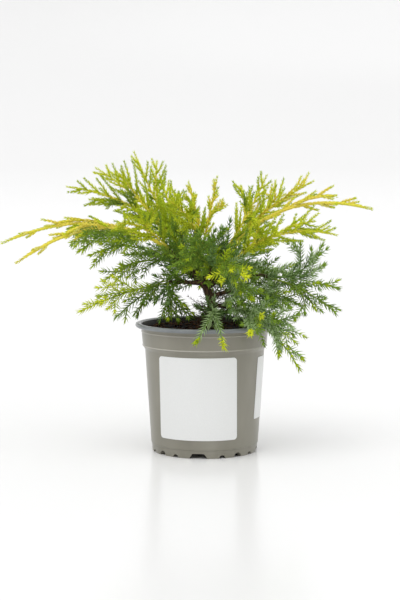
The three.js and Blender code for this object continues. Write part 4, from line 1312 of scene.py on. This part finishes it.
pot_materials = (
    moulded_plastic("pot_polypropylene", 0x7F7C70, 0x8C897D, 0.3),
    # The rolled lip: a glossier plastic of its own, lightened and tinted blue-grey as painted sheen, the
    # sky's reflection on it
    moulded_plastic("pot_lip_painted_sheen", 0x707476, 0x808486, 0.22),
    # The inside: darkened partly for peat stain and partly as painted shade in the pot's hollow
    moulded_plastic("pot_inside_stained_and_shaded", 0x16140F, 0x2E2B24, 0.6),
    # The beads under the lip and at the shoulder: lightened as a painted highlight along them
    moulded_plastic("pot_edges_painted_highlight", 0xA6A298, 0xB4B0A6, 0.25),
)
nursery_pot = pot()
keep(nursery_pot, pot_materials, "pot_plastic", "pot")
part_pot_faces(nursery_pot)
keep(soil(), peat("moist_peat", 0x040201, 0x150E09), "growing_medium", "soil")
keep(soil_bits(), peat("bark_chips", 0x120B06, 0x4E3521), "growing_medium")
keep(label("front_label_sheet", FRONT_LABEL), label_paper(), "label_paper", "front_label")
keep(label("side_label_sheet", SIDE_LABEL), label_paper(), "label_paper", "side_label")

limb_nodes = ["trunk"] + [f"bough_{name}" for name in BOUGHS]
keep(limbs(), juniper_bark(), "bark", *limb_nodes)

stem_standoffs = {}
for bough_name in BOUGHS:
    stem_standoffs.update(standoffs(bough_name))
for mass_index, mass in enumerate(MASSES):
    grow_mass(mass_index + FIRST_SEED, *mass, stem_standoffs[mass[0]])
for bough_index, (bough_name, (*_, shoot_colour, shoot_reach)) in enumerate(BOUGHS.items()):
    grow_leafy_shoots(BOUGH_SEED + bough_index, bough_path(bough_name), shoot_colour, shoot_reach)
grow_leafy_shoots(TRUNK_SEED, TRUNK, *TRUNK_SHOOTS)
dead_twigs()

# The needles of each colour stand for the masses that take the same slot of the record
for needle_name, (hex_colour, slot_name, _, _) in NEEDLES.items():
    stands_for = [f"foliage_{mass[0]}" for mass in MASSES if mass[6] == needle_name]
    piece = needle_object(f"needles_{needle_name}", needle_rows[needle_name])
    keep(piece, needle_wax(f"needle_{needle_name}", hex_colour), slot_name, *stands_for)
for twig_name, (hex_colour, slot_name) in TWIGS.items():
    piece = twig_meshes[twig_name].object(f"twigs_{twig_name}")
    keep(piece, needle_wax(f"twig_{twig_name}", hex_colour), slot_name)


# Stage: a pale, slightly glossy table that curves up far off, and soft light from all sides

def white_sweep():
    """Painted board: white and slightly glossy where the pot stands, and a little greyer up the wall."""
    material, tree, shader = new_material("white_sweep", rough=0.2, ior=1.45, specular=0.25)
    where = add_node(tree, "ShaderNodeTexCoord", {})
    height = add_node(tree, "ShaderNodeSeparateXYZ", {}, {"Vector": where.outputs["Object"]})
    colour = ramp(tree, height.outputs["Z"], ((0, 0xEFEFEF), (0.25, 0xE2E2E2)))
    tree.links.new(colour, shader.inputs["Base Color"])
    return material


def stage_sweep():
    """A round floor that turns up into a low wall in one curve, so that no horizon shows."""
    profile = [(0, 0), (SWEEP_FLAT, 0)]
    for step in range(1, SWEEP_STEPS + 1):
        angle = math.radians(90 * step / SWEEP_STEPS)
        profile.append((SWEEP_FLAT + SWEEP_CURVE * math.sin(angle), SWEEP_CURVE * (1 - math.cos(angle))))
    sweep = finish_bmesh(turn_profile(profile, 96), "stage_sweep")
    sweep.data.materials.append(white_sweep())


def soft_sun(name, direction, strength, spread):
    """A broad, even light from a direction, like a large softbox far away."""
    light = bpy.data.lights.new(name, "SUN")
    light.energy = strength
    light.angle = math.radians(spread)
    lamp = new_object(name, light)
    lamp.rotation_euler = Vector(direction).to_track_quat("Z", "Y").to_euler()


stage_sweep()
soft_sun("key_light", (-0.45, -0.62, 1.35), 0.95, 40)
soft_sun("fill_light", (0.9, -0.5, 0.7), 0.35, 60)

world = bpy.data.worlds.new("white_surround")
world.use_nodes = True
world.node_tree.nodes["Background"].inputs["Color"].default_value = linear(0xF7F7F7)
world.node_tree.nodes["Background"].inputs["Strength"].default_value = 1.0
bpy.context.scene.world = world
bpy.context.scene.view_settings.view_transform = "Standard"

# Camera: 1.4 m before the pot's axis, level with the crown's top and looking a little down
CAMERA_PLACE = (-4.4 * MM, -1400 * MM, 272 * MM)
CAMERA_PITCH = 5.33
camera_data = bpy.data.cameras.new("camera")
camera_data.lens = 90
camera_data.sensor_width = 36
camera = new_object("camera", camera_data)
camera.location = CAMERA_PLACE
camera.rotation_euler = (math.radians(90 - CAMERA_PITCH), 0, 0)
bpy.context.scene.camera = camera
